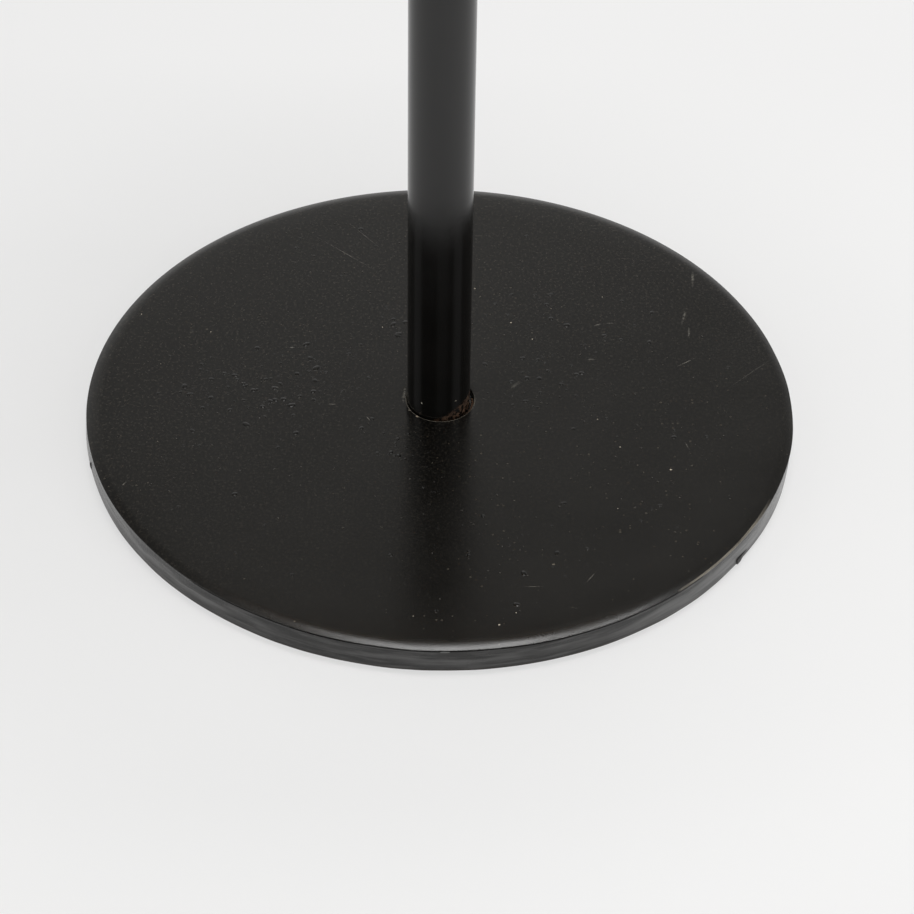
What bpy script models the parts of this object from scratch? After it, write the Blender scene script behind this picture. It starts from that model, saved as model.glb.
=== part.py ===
# Table lamp: a heavy round steel plate, a straight steel tube, an E27 lampholder with a rotary switch,
# an LED bulb and a woven cane shade on a wire frame.
# Metres, +Z up. The origin is the centre of the felt pad's underside, on the table.

import math

import bmesh
import bpy
from mathutils import Matrix, Vector

# Clearances
SEAT_GAP = 0.0003
TURNING_GAP = 0.00025

# Base plate and what fixes it to the tube
PLATE_DIAMETER = 0.215
PLATE_THICKNESS = 0.008
PLATE_ROLL_WIDTH = 0.004
PLATE_ROLL_DROP = 0.0008
PLATE_LOWER_CHAMFER = 0.0005
TUBE_SEAT_SLACK = 0.00085
TUBE_SEAT_OFFSET = 0.0005
TUBE_SEAT_DEPTH = 0.0024
BOLT_POCKET_DEPTH = 0.0038
BOLT_DIAMETER = 0.008
BOLT_HEAD_DIAMETER = 0.017
BOLT_HEAD_HEIGHT = 0.0021
BOLT_REACH_IN_TUBE = 0.0125
BOLT_SOCKET_ACROSS_FLATS = 0.005
BOLT_SOCKET_DEPTH = 0.0012
SPRING_WASHER_DIAMETER = 0.0148
SPRING_WASHER_THICKNESS = 0.0008
SPRING_WASHER_SLIT = 0.0009
PAD_THICKNESS = 0.0012
PAD_SETBACK = 0.003
PAD_HOLE_DIAMETER = 0.03

# Tube, its end fittings and its cable inlet
TUBE_DIAMETER = 0.01905
TUBE_WALL = 0.0012
TUBE_LENGTH = 0.3
FOOT_PLUG_END_WALL = 0.0045
INLET_HEIGHT = 0.03
INLET_HOLE_DIAMETER = 0.009
GROMMET_FLANGE_DIAMETER = 0.0125
GROMMET_FLANGE_THICKNESS = 0.0022
GROMMET_LIP_DIAMETER = 0.0112
GROMMET_LIP_THICKNESS = 0.0024
GROMMET_BORE_DIAMETER = 0.0062
WIRE_DIAMETER = 0.0022
WIRE_SPACING = 0.0028
BUSH_LENGTH = 0.014
BUSH_FLANGE_THICKNESS = 0.0025
NIPPLE_DIAMETER = 0.01
NIPPLE_BORE_DIAMETER = 0.0072
NIPPLE_LENGTH = 0.0205
NIPPLE_STANDS_PROUD = 0.0095
NECK_WASHER_DIAMETER = 0.0165
NECK_WASHER_THICKNESS = 0.0008

# Lampholder, measured up from the washer under its neck
CAP_NECK_DIAMETER = 0.019
CAP_NECK_HEIGHT = 0.006
CAP_FLARE_HEIGHT = 0.008
CAP_SIDE_HEIGHT = 0.016
CAP_DIAMETER = 0.043
CAP_WALL = 0.0022
SET_SCREW_DIAMETER = 0.003
SET_SCREW_HEIGHT = 0.003
BARREL_DIAMETER = 0.039
BARREL_WALL = 0.0035
BARREL_SPIGOT_LENGTH = 0.007
BARREL_FLANGE_DIAMETER = 0.046
BARREL_FLANGE_THICKNESS = 0.003
BARREL_LENGTH = 0.0255
BARREL_THREAD_PITCH = 0.0036
BARREL_THREAD_DEPTH = 0.0006
CORE_THICKNESS = 0.014
CORE_BELOW_FLANGE = 0.0033
TERMINAL_SPACING = 0.018
TERMINAL_ENTRY_DEPTH = 0.004
TERMINAL_SCREW_OFFSET = 0.0055
TERMINAL_SCREW_DIAMETER = 0.0026
TERMINAL_HEAD_DIAMETER = 0.005
TERMINAL_HEAD_HEIGHT = 0.0016
TERMINAL_SCREW_LENGTH = 0.005
CONTACT_THICKNESS = 0.0005
CONTACT_WIDTH = 0.005
CONTACT_REACH = 0.008
CONTACT_RISE = 0.0034
SHELL_HEIGHT = 0.0172
SHELL_THREAD_TURNS = 2
SHELL_WALL = 0.0005
SHELL_FOOT_DIAMETER = 0.0305

# Rotary switch in the side of the lampholder cap
SWITCH_HEIGHT = 0.0185
SWITCH_SHAFT_DIAMETER = 0.004
SWITCH_SHAFT_INNER_END = 0.006
SWITCH_COLLAR_DIAMETER = 0.007
SWITCH_COLLAR_WIDTH = 0.001
SWITCH_CAM_SIDE = 0.005
SWITCH_CAM_WIDTH = 0.004
SWITCH_LEAF_GAP = 0.0005
KNOB_DIAMETER = 0.012
KNOB_LENGTH = 0.012
KNOB_STANDOFF = 0.0006
KNOB_BORE_DEPTH = 0.009
KNOB_FLUTES = 12
KNOB_FLUTE_DIAMETER = 0.0018

# E27 LED bulb, measured up from its contact tip
BULB_THREAD_DIAMETER = 0.0262
BULB_THREAD_DEPTH = 0.00105
BULB_THREAD_PITCH = 0.00363
BULB_THREAD_TURNS = 4
BULB_TO_SHELL_GAP = 0.00035
BULB_CAP_WALL = 0.0004
BULB_CAP_HEIGHT = 0.021
BULB_TIP_DIAMETER = 0.0095
BULB_TIP_HEIGHT = 0.002
BULB_INSULATOR_HEIGHT = 0.0047
BULB_BODY_HEIGHT = 0.033
BULB_BODY_WALL = 0.0018
BULB_DIAMETER = 0.06
BULB_DOME_WALL = 0.0012
BULB_DOME_COLLAR = 0.02
LED_BOARD_THICKNESS = 0.0016

# Shade and its wire frame
SHADE_LOWER_DIAMETER = 0.29
SHADE_UPPER_DIAMETER = 0.22
SHADE_HEIGHT = 0.195
SHADE_WALL = 0.006
SHADE_BORDER_HEIGHT = 0.009
SHADE_BORDER_BULGE = 0.0015
SHADE_STAKES = 40
SHADE_REED_THICKNESS = 0.0016
SHADE_BAND_HEIGHT = 0.0136
SHADE_BAND_STEP = 0.0008
FITTER_ABOVE_RIM = 0.036
FITTER_DIAMETER = 0.06
FITTER_THICKNESS = 0.0015
FRAME_WIRE_DIAMETER = 0.0035
FRAME_RING_INSET = 0.005
FRAME_STRUTS = 6
SPIDER_ARMS = 3
SPIDER_ARM_LEVEL_RUN = 0.012
SHADE_NUT_DIAMETER = 0.054
SHADE_NUT_HEIGHT = 0.008
SHADE_NUT_NOTCHES = 12
SHADE_NUT_NOTCH_DIAMETER = 0.005

# Facets round a full turn
WIDE_SEGMENTS = 72
SHADE_SEGMENTS = 60
TUBE_SEGMENTS = 36
HOLDER_SEGMENTS = 28
INNER_SEGMENTS = 20
SMALL_SEGMENTS = 12
WIRE_SIDES = 8
RING_SIDES = 6
OVERCUT = 0.001

# Radii and heights that follow from the sizes above
PLATE_RADIUS = PLATE_DIAMETER / 2
PLATE_UNDERSIDE = PAD_THICKNESS + SEAT_GAP
PLATE_TOP = PLATE_UNDERSIDE + PLATE_THICKNESS
TUBE_RADIUS = TUBE_DIAMETER / 2
TUBE_BORE_RADIUS = TUBE_RADIUS - TUBE_WALL
TUBE_FOOT = PLATE_TOP - TUBE_SEAT_DEPTH + SEAT_GAP
TUBE_TOP = TUBE_FOOT + TUBE_LENGTH
BOLT_HOLE_RADIUS = BOLT_DIAMETER / 2 + SEAT_GAP
PLUG_RADIUS = TUBE_BORE_RADIUS - SEAT_GAP
INLET_LEVEL = PLATE_TOP + INLET_HEIGHT
BUSH_TOP = TUBE_TOP + SEAT_GAP + BUSH_FLANGE_THICKNESS
NIPPLE_HOLE_RADIUS = NIPPLE_DIAMETER / 2 + SEAT_GAP
NECK_WASHER_TOP = BUSH_TOP + SEAT_GAP + NECK_WASHER_THICKNESS
CAP_FOOT = NECK_WASHER_TOP + SEAT_GAP
CAP_RADIUS = CAP_DIAMETER / 2
CAP_BORE_RADIUS = CAP_RADIUS - CAP_WALL
CAP_SIDE_FOOT = CAP_FOOT + CAP_NECK_HEIGHT + CAP_FLARE_HEIGHT
CAP_RIM = CAP_SIDE_FOOT + CAP_SIDE_HEIGHT
BARREL_RADIUS = BARREL_DIAMETER / 2
BARREL_BORE_RADIUS = BARREL_RADIUS - BARREL_WALL
FLANGE_FOOT = CAP_RIM + SEAT_GAP
FLANGE_TOP = FLANGE_FOOT + BARREL_FLANGE_THICKNESS
BARREL_TOP = FLANGE_TOP + BARREL_LENGTH
CORE_FOOT = FLANGE_FOOT - CORE_BELOW_FLANGE
CORE_TOP = CORE_FOOT + CORE_THICKNESS
CORE_RADIUS = BARREL_BORE_RADIUS - SEAT_GAP
SHELL_FOOT = CORE_TOP + SEAT_GAP
CONTACT_FOOT = CORE_TOP + SEAT_GAP
BULB_TIP = CONTACT_FOOT + CONTACT_THICKNESS + CONTACT_RISE + SEAT_GAP
BULB_THREAD_RADIUS = BULB_THREAD_DIAMETER / 2
BULB_THREAD_ROOT = BULB_THREAD_RADIUS - BULB_THREAD_DEPTH
BULB_CAP_FOOT = BULB_TIP + BULB_TIP_HEIGHT + SEAT_GAP + BULB_INSULATOR_HEIGHT / 2
BULB_CAP_TOP = BULB_CAP_FOOT + BULB_CAP_HEIGHT
BULB_BODY_FOOT = BULB_CAP_TOP + SEAT_GAP
BULB_BODY_TOP = BULB_BODY_FOOT + BULB_BODY_HEIGHT
BULB_RADIUS = BULB_DIAMETER / 2
SWITCH_LEVEL = CAP_FOOT + SWITCH_HEIGHT
FITTER_FOOT = FLANGE_TOP + SEAT_GAP
FITTER_TOP = FITTER_FOOT + FITTER_THICKNESS
FITTER_HOLE_RADIUS = BARREL_RADIUS + SEAT_GAP
SHADE_FOOT = FITTER_FOOT - FITTER_ABOVE_RIM
SHADE_TOP = SHADE_FOOT + SHADE_HEIGHT
FRAME_WIRE_RADIUS = FRAME_WIRE_DIAMETER / 2


def clear_scene():
    for old in list(bpy.data.objects):
        bpy.data.objects.remove(old, do_unlink=True)


def finish(name, colour, roughness, metallic=0.0):
    """A Principled material of this colour."""
    material = bpy.data.materials.new(name)
    material.use_nodes = True
    shader = material.node_tree.nodes["Principled BSDF"]
    shader.inputs["Base Color"].default_value = (*colour, 1.0)
    shader.inputs["Roughness"].default_value = roughness
    shader.inputs["Metallic"].default_value = metallic
    return material


def place(name, data, material=None, at=(0, 0, 0), turn=None, parent=None):
    """Puts an object of this data in the scene, at a place, turned and with its parent."""
    piece = bpy.data.objects.new(name, data)
    bpy.context.scene.collection.objects.link(piece)
    if material:
        data.materials.append(material)
    piece.location = at
    if turn:
        piece.rotation_euler = turn
    if parent:
        piece.parent = parent
    return piece


def station(name, height, turn=None):
    """An empty on the lamp's axis that a sub-assembly is measured from."""
    return place(name, None, at=(0, 0, height), turn=turn)


def shaded(shape):
    """A mesh from the bmesh, smooth round its curves and sharp at its corners."""
    bmesh.ops.recalc_face_normals(shape, faces=shape.faces)
    mesh = bpy.data.meshes.new("shape")
    shape.to_mesh(mesh)
    shape.free()
    mesh.shade_smooth()
    mesh.set_sharp_from_angle(angle=math.radians(35))
    return mesh


def turned_mesh(outline, segments):
    """A turned solid about Z, from (radius, height) points: a loop, or a chain with both ends on the axis."""
    shape = bmesh.new()
    corners = [shape.verts.new((radius, 0, height)) for radius, height in outline]
    pairs = list(zip(corners, corners[1:]))
    if outline[0][0] > 0:
        pairs.append((corners[-1], corners[0]))
    edges = [shape.edges.new(pair) for pair in pairs]
    bmesh.ops.spin(
        shape, geom=corners + edges, cent=(0, 0, 0), axis=(0, 0, 1),
        angle=math.tau, steps=segments, use_merge=True,
    )
    bmesh.ops.remove_doubles(shape, verts=shape.verts, dist=1e-7)
    bmesh.ops.dissolve_degenerate(shape, edges=shape.edges, dist=1e-7)
    return shaded(shape)


def turned(name, outline, material, parent, segments=HOLDER_SEGMENTS, at=(0, 0, 0)):
    return place(name, turned_mesh(outline, segments), material, at, parent=parent)


def washer_outline(inner, outer, foot, top):
    return [(inner, foot), (outer, foot), (outer, top), (inner, top)]


def circle_outline(radius, height, wire_radius, sides=RING_SIDES):
    angles = [math.tau * (step + 0.5) / sides for step in range(sides)]
    return [(radius + wire_radius * math.cos(a), height + wire_radius * math.sin(a)) for a in angles]


def arc(centre, radii, start, end, steps):
    """Points on an ellipse quarter, from one angle to another in degrees."""
    angles = [math.radians(start + (end - start) * step / steps) for step in range(steps + 1)]
    return [(centre[0] + radii[0] * math.cos(a), centre[1] + radii[1] * math.sin(a)) for a in angles]


def wire(name, points, diameter, material, parent, sides=WIRE_SIDES):
    """A round wire along the points, with flat ends."""
    curve = bpy.data.curves.new(name, "CURVE")
    curve.dimensions = "3D"
    curve.bevel_depth = diameter / 2
    curve.bevel_resolution = sides // 2 - 2
    curve.use_fill_caps = True
    spline = curve.splines.new("POLY")
    spline.points.add(len(points) - 1)
    for knot, point in zip(spline.points, points):
        knot.co = (*point, 1)
    return place(name, curve, material, parent=parent)


def smooth_route(points, steps):
    """Points on a Catmull-Rom curve through the route's own points."""
    knots = [Vector(point) for point in points]
    knots = [2 * knots[0] - knots[1], *knots, 2 * knots[-1] - knots[-2]]
    route = []
    for a, b, c, d in zip(knots, knots[1:], knots[2:], knots[3:]):
        square = 2 * a - 5 * b + 4 * c - d
        cube = 3 * b - a - 3 * c + d
        for step in range(steps):
            t = step / steps
            route.append((2 * b + (c - a) * t + square * t**2 + cube * t**3) / 2)
    return route + [knots[-2]]


def strip(name, line, thickness, width, material, parent, turn=None):
    """A flat strip whose underside follows the (x, z) line, as wide along Y as given."""
    shape = bmesh.new()
    below = [Vector((x, -width / 2, z)) for x, z in line]
    slopes = [(after - before).normalized() for before, after in zip(below, below[1:])]
    slopes = [slopes[0]] + [(a + b).normalized() for a, b in zip(slopes, slopes[1:])] + [slopes[-1]]
    above = [point + thickness * Vector((-slope.z, 0, slope.x)) for point, slope in zip(below, slopes)]
    side = shape.faces.new([shape.verts.new(point) for point in below + above[::-1]])
    grown = bmesh.ops.extrude_face_region(shape, geom=[side])["geom"]
    far = [item for item in grown if isinstance(item, bmesh.types.BMVert)]
    bmesh.ops.translate(shape, verts=far, vec=(0, width, 0))
    return place(name, shaded(shape), material, parent=parent, turn=turn)


def rod_mesh(radius, length, segments, spots=((0, 0),)):
    """Upright rods of one size, from height 0, at the (x, y) spots."""
    shape = bmesh.new()
    for x, y in spots:
        bmesh.ops.create_cone(
            shape, cap_ends=True, segments=segments, radius1=radius, radius2=radius, depth=length,
            matrix=Matrix.Translation((x, y, length / 2)),
        )
    return shaded(shape)


def hidden(name, data, at=(0, 0, 0), turn=None, parent=None):
    """A helper solid that cuts or joins another one and isn't itself a piece."""
    helper = place(name, data, at=at, turn=turn, parent=parent)
    helper.hide_render = True
    helper.display_type = "WIRE"
    return helper


def combine(piece, helper, operation="DIFFERENCE"):
    boolean = piece.modifiers.new(helper.name, "BOOLEAN")
    boolean.operation = operation
    boolean.object = helper
    boolean.solver = "EXACT"


def drill(piece, radius, start, length, turn=None, segments=INNER_SEGMENTS, spots=((0, 0),)):
    """Cuts round holes that begin at start and run along the turned Z axis. It shares the piece's parent."""
    name = f"{piece.name}_drill_{len(piece.modifiers)}"
    cutter = hidden(name, rod_mesh(radius, length, segments, spots), start, turn, piece.parent)
    combine(piece, cutter)


def round_spots(count, radius, phase=0.0):
    angles = [math.tau * (step + phase) / count for step in range(count)]
    return [(radius * math.cos(a), radius * math.sin(a)) for a in angles]


def thread_outline(radius, depth, pitch, turns, foot):
    """One side of a rolled round thread: crests at the radius, roots below it, as rings."""
    profile = []
    for turn in range(turns):
        level = foot + turn * pitch
        profile += [(radius - depth, level), (radius, level + pitch / 2)]
    return profile + [(radius - depth, foot + turns * pitch)]


ALONG_BACK = (-math.pi / 2, 0, 0)
ALONG_RIGHT = (0, math.pi / 2, 0)


def make_base(base, looks):
    turned(
        "felt_pad",
        washer_outline(PAD_HOLE_DIAMETER / 2, PLATE_RADIUS - PAD_SETBACK, 0, PAD_THICKNESS),
        looks["felt"], base, SHADE_SEGMENTS,
    )

    # The blanked disc: its upper edge is drawn down by the punch, its pocket takes the bolt's head
    pocket_radius = BOLT_HEAD_DIAMETER / 2 + 2 * SEAT_GAP
    pocket_roof = PLATE_UNDERSIDE + BOLT_POCKET_DEPTH
    roll_centre = (PLATE_RADIUS - PLATE_ROLL_WIDTH, PLATE_TOP - PLATE_ROLL_DROP)
    plate = turned(
        "base_plate",
        [
            (BOLT_HOLE_RADIUS, pocket_roof),
            (pocket_radius, pocket_roof),
            (pocket_radius, PLATE_UNDERSIDE),
            (PLATE_RADIUS - PLATE_LOWER_CHAMFER, PLATE_UNDERSIDE),
            (PLATE_RADIUS, PLATE_UNDERSIDE + PLATE_LOWER_CHAMFER),
            *arc(roll_centre, (PLATE_ROLL_WIDTH, PLATE_ROLL_DROP), 0, 90, 4),
            (BOLT_HOLE_RADIUS, PLATE_TOP),
        ],
        looks["black paint"], base, WIDE_SEGMENTS,
    )
    drill(
        plate, TUBE_RADIUS + TUBE_SEAT_SLACK, (TUBE_SEAT_OFFSET, 0, PLATE_TOP - TUBE_SEAT_DEPTH),
        TUBE_SEAT_DEPTH + OVERCUT, segments=TUBE_SEGMENTS,
    )

    washer_top = pocket_roof - SEAT_GAP
    washer_foot = washer_top - SPRING_WASHER_THICKNESS
    spring_washer = turned(
        "spring_washer",
        washer_outline(BOLT_HOLE_RADIUS, SPRING_WASHER_DIAMETER / 2, washer_foot, washer_top),
        looks["zinc"], base, INNER_SEGMENTS,
    )
    slit = rod_mesh(SPRING_WASHER_SLIT / 2, SPRING_WASHER_DIAMETER, RING_SIDES)
    combine(spring_washer, hidden("spring_washer_slit", slit, (0, 0, washer_foot), ALONG_RIGHT, base))

    head_top = washer_foot - SEAT_GAP
    head_foot = head_top - BOLT_HEAD_HEIGHT
    head_radius = BOLT_HEAD_DIAMETER / 2
    shank_end = TUBE_FOOT + BOLT_REACH_IN_TUBE
    shank_radius = BOLT_DIAMETER / 2
    end_taper = BOLT_DIAMETER / 12
    bolt = turned(
        "base_bolt",
        [
            (0, head_foot),
            (head_radius - BOLT_HEAD_HEIGHT / 3, head_foot),
            (head_radius, head_foot + BOLT_HEAD_HEIGHT / 3),
            (head_radius, head_top),
            (shank_radius, head_top),
            (shank_radius, shank_end - end_taper),
            (shank_radius - end_taper, shank_end),
            (0, shank_end),
        ],
        looks["zinc"], base, INNER_SEGMENTS,
    )
    hexagon_radius = BOLT_SOCKET_ACROSS_FLATS / math.sqrt(3)
    drill(bolt, hexagon_radius, (0, 0, head_foot - OVERCUT), BOLT_SOCKET_DEPTH + OVERCUT, segments=6)


def make_stem(stem, looks):
    """The stem's heights are measured from the tube's lower end."""
    bolt_bore_end = BOLT_REACH_IN_TUBE + SEAT_GAP
    plug_top = bolt_bore_end + FOOT_PLUG_END_WALL
    turned(
        "foot_plug",
        [
            (0, bolt_bore_end),
            (BOLT_HOLE_RADIUS, bolt_bore_end),
            (BOLT_HOLE_RADIUS, 0),
            (PLUG_RADIUS, 0),
            (PLUG_RADIUS, plug_top - SEAT_GAP),
            (PLUG_RADIUS - SEAT_GAP, plug_top),
            (0, plug_top),
        ],
        looks["bare steel"], stem, INNER_SEGMENTS,
    )

    tube = turned(
        "stem_tube", washer_outline(TUBE_BORE_RADIUS, TUBE_RADIUS, 0, TUBE_LENGTH),
        looks["black paint"], stem, TUBE_SEGMENTS,
    )
    inlet = INLET_LEVEL - TUBE_FOOT
    drill(tube, INLET_HOLE_DIAMETER / 2, (0, 0, inlet), TUBE_DIAMETER, ALONG_BACK)

    # The rubber grommet saddles the tube outside and inside, with a neck through the wall
    flange_radius = GROMMET_FLANGE_DIAMETER / 2
    lip_start = TUBE_BORE_RADIUS - SEAT_GAP - GROMMET_LIP_THICKNESS
    outer_face = TUBE_RADIUS + SEAT_GAP + GROMMET_FLANGE_THICKNESS
    outer_round = GROMMET_FLANGE_THICKNESS / 3
    flange_outline = [
        (0, 0),
        (flange_radius, 0),
        (flange_radius, outer_face - outer_round),
        (flange_radius - outer_round, outer_face),
        (0, outer_face),
    ]
    flange_mesh = turned_mesh(flange_outline, INNER_SEGMENTS)
    grommet = place("cable_grommet", flange_mesh, looks["rubber"], (0, 0, inlet), ALONG_BACK, stem)
    upright = (0, 0, inlet - GROMMET_FLANGE_DIAMETER)
    tall = 2 * GROMMET_FLANGE_DIAMETER
    around_tube = hidden(
        "grommet_around_tube", rod_mesh(TUBE_RADIUS + SEAT_GAP, tall, TUBE_SEGMENTS), upright, parent=stem
    )
    combine(grommet, around_tube)
    neck_length = TUBE_RADIUS + SEAT_GAP + outer_round - lip_start
    neck = hidden(
        "grommet_neck",
        rod_mesh(INLET_HOLE_DIAMETER / 2 - SEAT_GAP, neck_length, INNER_SEGMENTS),
        (0, lip_start, inlet), ALONG_BACK, stem,
    )
    combine(grommet, neck, "UNION")
    lip = hidden(
        "grommet_lip",
        rod_mesh(GROMMET_LIP_DIAMETER / 2, TUBE_WALL + GROMMET_LIP_THICKNESS, INNER_SEGMENTS),
        (0, lip_start, inlet), ALONG_BACK, stem,
    )
    inside_tube = hidden(
        "grommet_inside_tube",
        rod_mesh(TUBE_BORE_RADIUS - SEAT_GAP, tall, TUBE_SEGMENTS),
        upright, parent=stem,
    )
    combine(lip, inside_tube, "INTERSECT")
    combine(grommet, lip, "UNION")
    drill(grommet, GROMMET_BORE_DIAMETER / 2, (0, 0, inlet), outer_face + OVERCUT, ALONG_BACK)


def make_wires(base, looks):
    """Two insulated cores from the grommet, up the tube and the nipple, to the terminals."""
    top_of_straight = CAP_FOOT + CAP_NECK_HEIGHT
    rise = CORE_FOOT - top_of_straight
    for name, side, look in (("live_wire", 1, "brown wire"), ("neutral_wire", -1, "blue wire")):
        beside = side * WIRE_SPACING / 2
        terminal = side * TERMINAL_SPACING / 2
        bend = smooth_route(
            [
                (beside, TUBE_RADIUS, INLET_LEVEL),
                (beside, TUBE_RADIUS * 0.6, INLET_LEVEL),
                (beside, TUBE_RADIUS * 0.15, INLET_LEVEL + TUBE_RADIUS * 0.45),
                (beside, 0, INLET_LEVEL + TUBE_RADIUS * 1.4),
            ],
            3,
        )
        spread = smooth_route(
            [
                (beside, 0, top_of_straight),
                (beside / 2, terminal * 0.4, top_of_straight + rise * 0.35),
                (0, terminal, top_of_straight + rise * 0.75),
                (0, terminal, CORE_FOOT + TERMINAL_ENTRY_DEPTH - SEAT_GAP),
            ],
            3,
        )
        wire(name, bend + spread, WIRE_DIAMETER, looks[look], base)


def make_tube_top(base, looks):
    lead_in = BUSH_FLANGE_THICKNESS / 5
    turned(
        "tube_bush",
        [
            (NIPPLE_HOLE_RADIUS, TUBE_TOP - BUSH_LENGTH),
            (PLUG_RADIUS - lead_in, TUBE_TOP - BUSH_LENGTH),
            (PLUG_RADIUS, TUBE_TOP - BUSH_LENGTH + lead_in),
            (PLUG_RADIUS, TUBE_TOP + SEAT_GAP),
            (TUBE_RADIUS, TUBE_TOP + SEAT_GAP),
            (TUBE_RADIUS, BUSH_TOP - lead_in),
            (TUBE_RADIUS - lead_in, BUSH_TOP),
            (NIPPLE_HOLE_RADIUS, BUSH_TOP),
        ],
        looks["black paint"], base, TUBE_SEGMENTS,
    )
    nipple_top = BUSH_TOP + NIPPLE_STANDS_PROUD
    turned(
        "holder_nipple",
        washer_outline(NIPPLE_BORE_DIAMETER / 2, NIPPLE_DIAMETER / 2, nipple_top - NIPPLE_LENGTH, nipple_top),
        looks["brass"], base, INNER_SEGMENTS,
    )
    turned(
        "neck_washer",
        washer_outline(NIPPLE_HOLE_RADIUS, NECK_WASHER_DIAMETER / 2, BUSH_TOP + SEAT_GAP, NECK_WASHER_TOP),
        looks["zinc"], base, INNER_SEGMENTS,
    )


def make_lampholder(base, looks):
    neck_radius = CAP_NECK_DIAMETER / 2
    flare = (CAP_RADIUS - neck_radius, CAP_FLARE_HEIGHT)
    bore_flare = (CAP_BORE_RADIUS - NIPPLE_HOLE_RADIUS, CAP_FLARE_HEIGHT)
    cap = turned(
        "holder_cap",
        [
            (NIPPLE_HOLE_RADIUS, CAP_FOOT),
            (neck_radius, CAP_FOOT),
            *arc((neck_radius, CAP_SIDE_FOOT), flare, 270, 360, 5),
            (CAP_RADIUS, CAP_RIM),
            (CAP_BORE_RADIUS, CAP_RIM),
            (CAP_BORE_RADIUS, CAP_SIDE_FOOT + CAP_WALL),
            *arc((NIPPLE_HOLE_RADIUS, CAP_SIDE_FOOT + CAP_WALL), bore_flare, 345, 270, 4),
        ],
        looks["phenolic"], base,
    )
    drill(
        cap, SET_SCREW_DIAMETER / 2 + SEAT_GAP, (0, 0, CAP_FOOT + SET_SCREW_HEIGHT), neck_radius + OVERCUT,
        ALONG_BACK, SMALL_SEGMENTS,
    )
    shaft_hole_radius = SWITCH_SHAFT_DIAMETER / 2 + TURNING_GAP
    drill(cap, shaft_hole_radius, (CAP_BORE_RADIUS - CAP_WALL, 0, SWITCH_LEVEL), 3 * CAP_WALL, ALONG_RIGHT)
    screw_start = NIPPLE_DIAMETER / 2 + SEAT_GAP
    set_screw = rod_mesh(SET_SCREW_DIAMETER / 2, neck_radius - SEAT_GAP - screw_start, SMALL_SEGMENTS)
    screw_level = (0, screw_start, CAP_FOOT + SET_SCREW_HEIGHT)
    place("cap_set_screw", set_screw, looks["zinc"], screw_level, ALONG_BACK, base)

    spigot_radius = CAP_BORE_RADIUS - SEAT_GAP
    pitch = BARREL_THREAD_PITCH
    thread_turns = int((BARREL_LENGTH - pitch) / pitch)
    thread_foot = BARREL_TOP - thread_turns * pitch - SEAT_GAP
    turned(
        "holder_barrel",
        [
            (BARREL_BORE_RADIUS, FLANGE_FOOT - BARREL_SPIGOT_LENGTH),
            (spigot_radius, FLANGE_FOOT - BARREL_SPIGOT_LENGTH),
            (spigot_radius, FLANGE_FOOT),
            (BARREL_FLANGE_DIAMETER / 2, FLANGE_FOOT),
            (BARREL_FLANGE_DIAMETER / 2, FLANGE_TOP),
            (BARREL_RADIUS - BARREL_THREAD_DEPTH, FLANGE_TOP),
            *thread_outline(BARREL_RADIUS, BARREL_THREAD_DEPTH, pitch, thread_turns, thread_foot),
            (BARREL_RADIUS - BARREL_THREAD_DEPTH, BARREL_TOP),
            (BARREL_BORE_RADIUS, BARREL_TOP),
        ],
        looks["phenolic"], base,
    )

    core = turned(
        "holder_core", [(0, CORE_FOOT), (CORE_RADIUS, CORE_FOOT), (CORE_RADIUS, CORE_TOP), (0, CORE_TOP)],
        looks["porcelain"], base, INNER_SEGMENTS,
    )
    wire_spots = [(0, -TERMINAL_SPACING / 2), (0, TERMINAL_SPACING / 2)]
    drill(
        core, WIRE_DIAMETER / 2 + SEAT_GAP, (0, 0, CORE_FOOT - OVERCUT), TERMINAL_ENTRY_DEPTH + OVERCUT,
        segments=SMALL_SEGMENTS, spots=wire_spots,
    )
    screw_spots = [(-TERMINAL_SCREW_OFFSET, y) for _, y in wire_spots]
    head_top = CORE_FOOT - SEAT_GAP
    screw_end = head_top + TERMINAL_SCREW_LENGTH
    drill(
        core, TERMINAL_SCREW_DIAMETER / 2 + SEAT_GAP, (0, 0, CORE_FOOT - OVERCUT),
        TERMINAL_SCREW_LENGTH + OVERCUT, segments=SMALL_SEGMENTS, spots=screw_spots,
    )
    for name, (x, y) in zip(("neutral_terminal_screw", "live_terminal_screw"), screw_spots):
        turned(
            name,
            [
                (0, head_top - TERMINAL_HEAD_HEIGHT),
                (TERMINAL_HEAD_DIAMETER / 2, head_top - TERMINAL_HEAD_HEIGHT),
                (TERMINAL_HEAD_DIAMETER / 2, head_top),
                (TERMINAL_SCREW_DIAMETER / 2, head_top),
                (TERMINAL_SCREW_DIAMETER / 2, screw_end),
                (0, screw_end),
            ],
            looks["brass"], base, SMALL_SEGMENTS, (x, y, 0),
        )

    # The centre contact springs up from one side of the core to the middle
    strip(
        "centre_contact",
        [
            (-CONTACT_REACH, CONTACT_FOOT),
            (-CONTACT_REACH / 2, CONTACT_FOOT),
            (-CONTACT_REACH / 5, CONTACT_FOOT + CONTACT_RISE),
            (CONTACT_REACH / 4, CONTACT_FOOT + CONTACT_RISE),
            (CONTACT_REACH / 2, CONTACT_FOOT + CONTACT_RISE / 2),
        ],
        CONTACT_THICKNESS, CONTACT_WIDTH, looks["brass"], base,
    )

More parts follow.
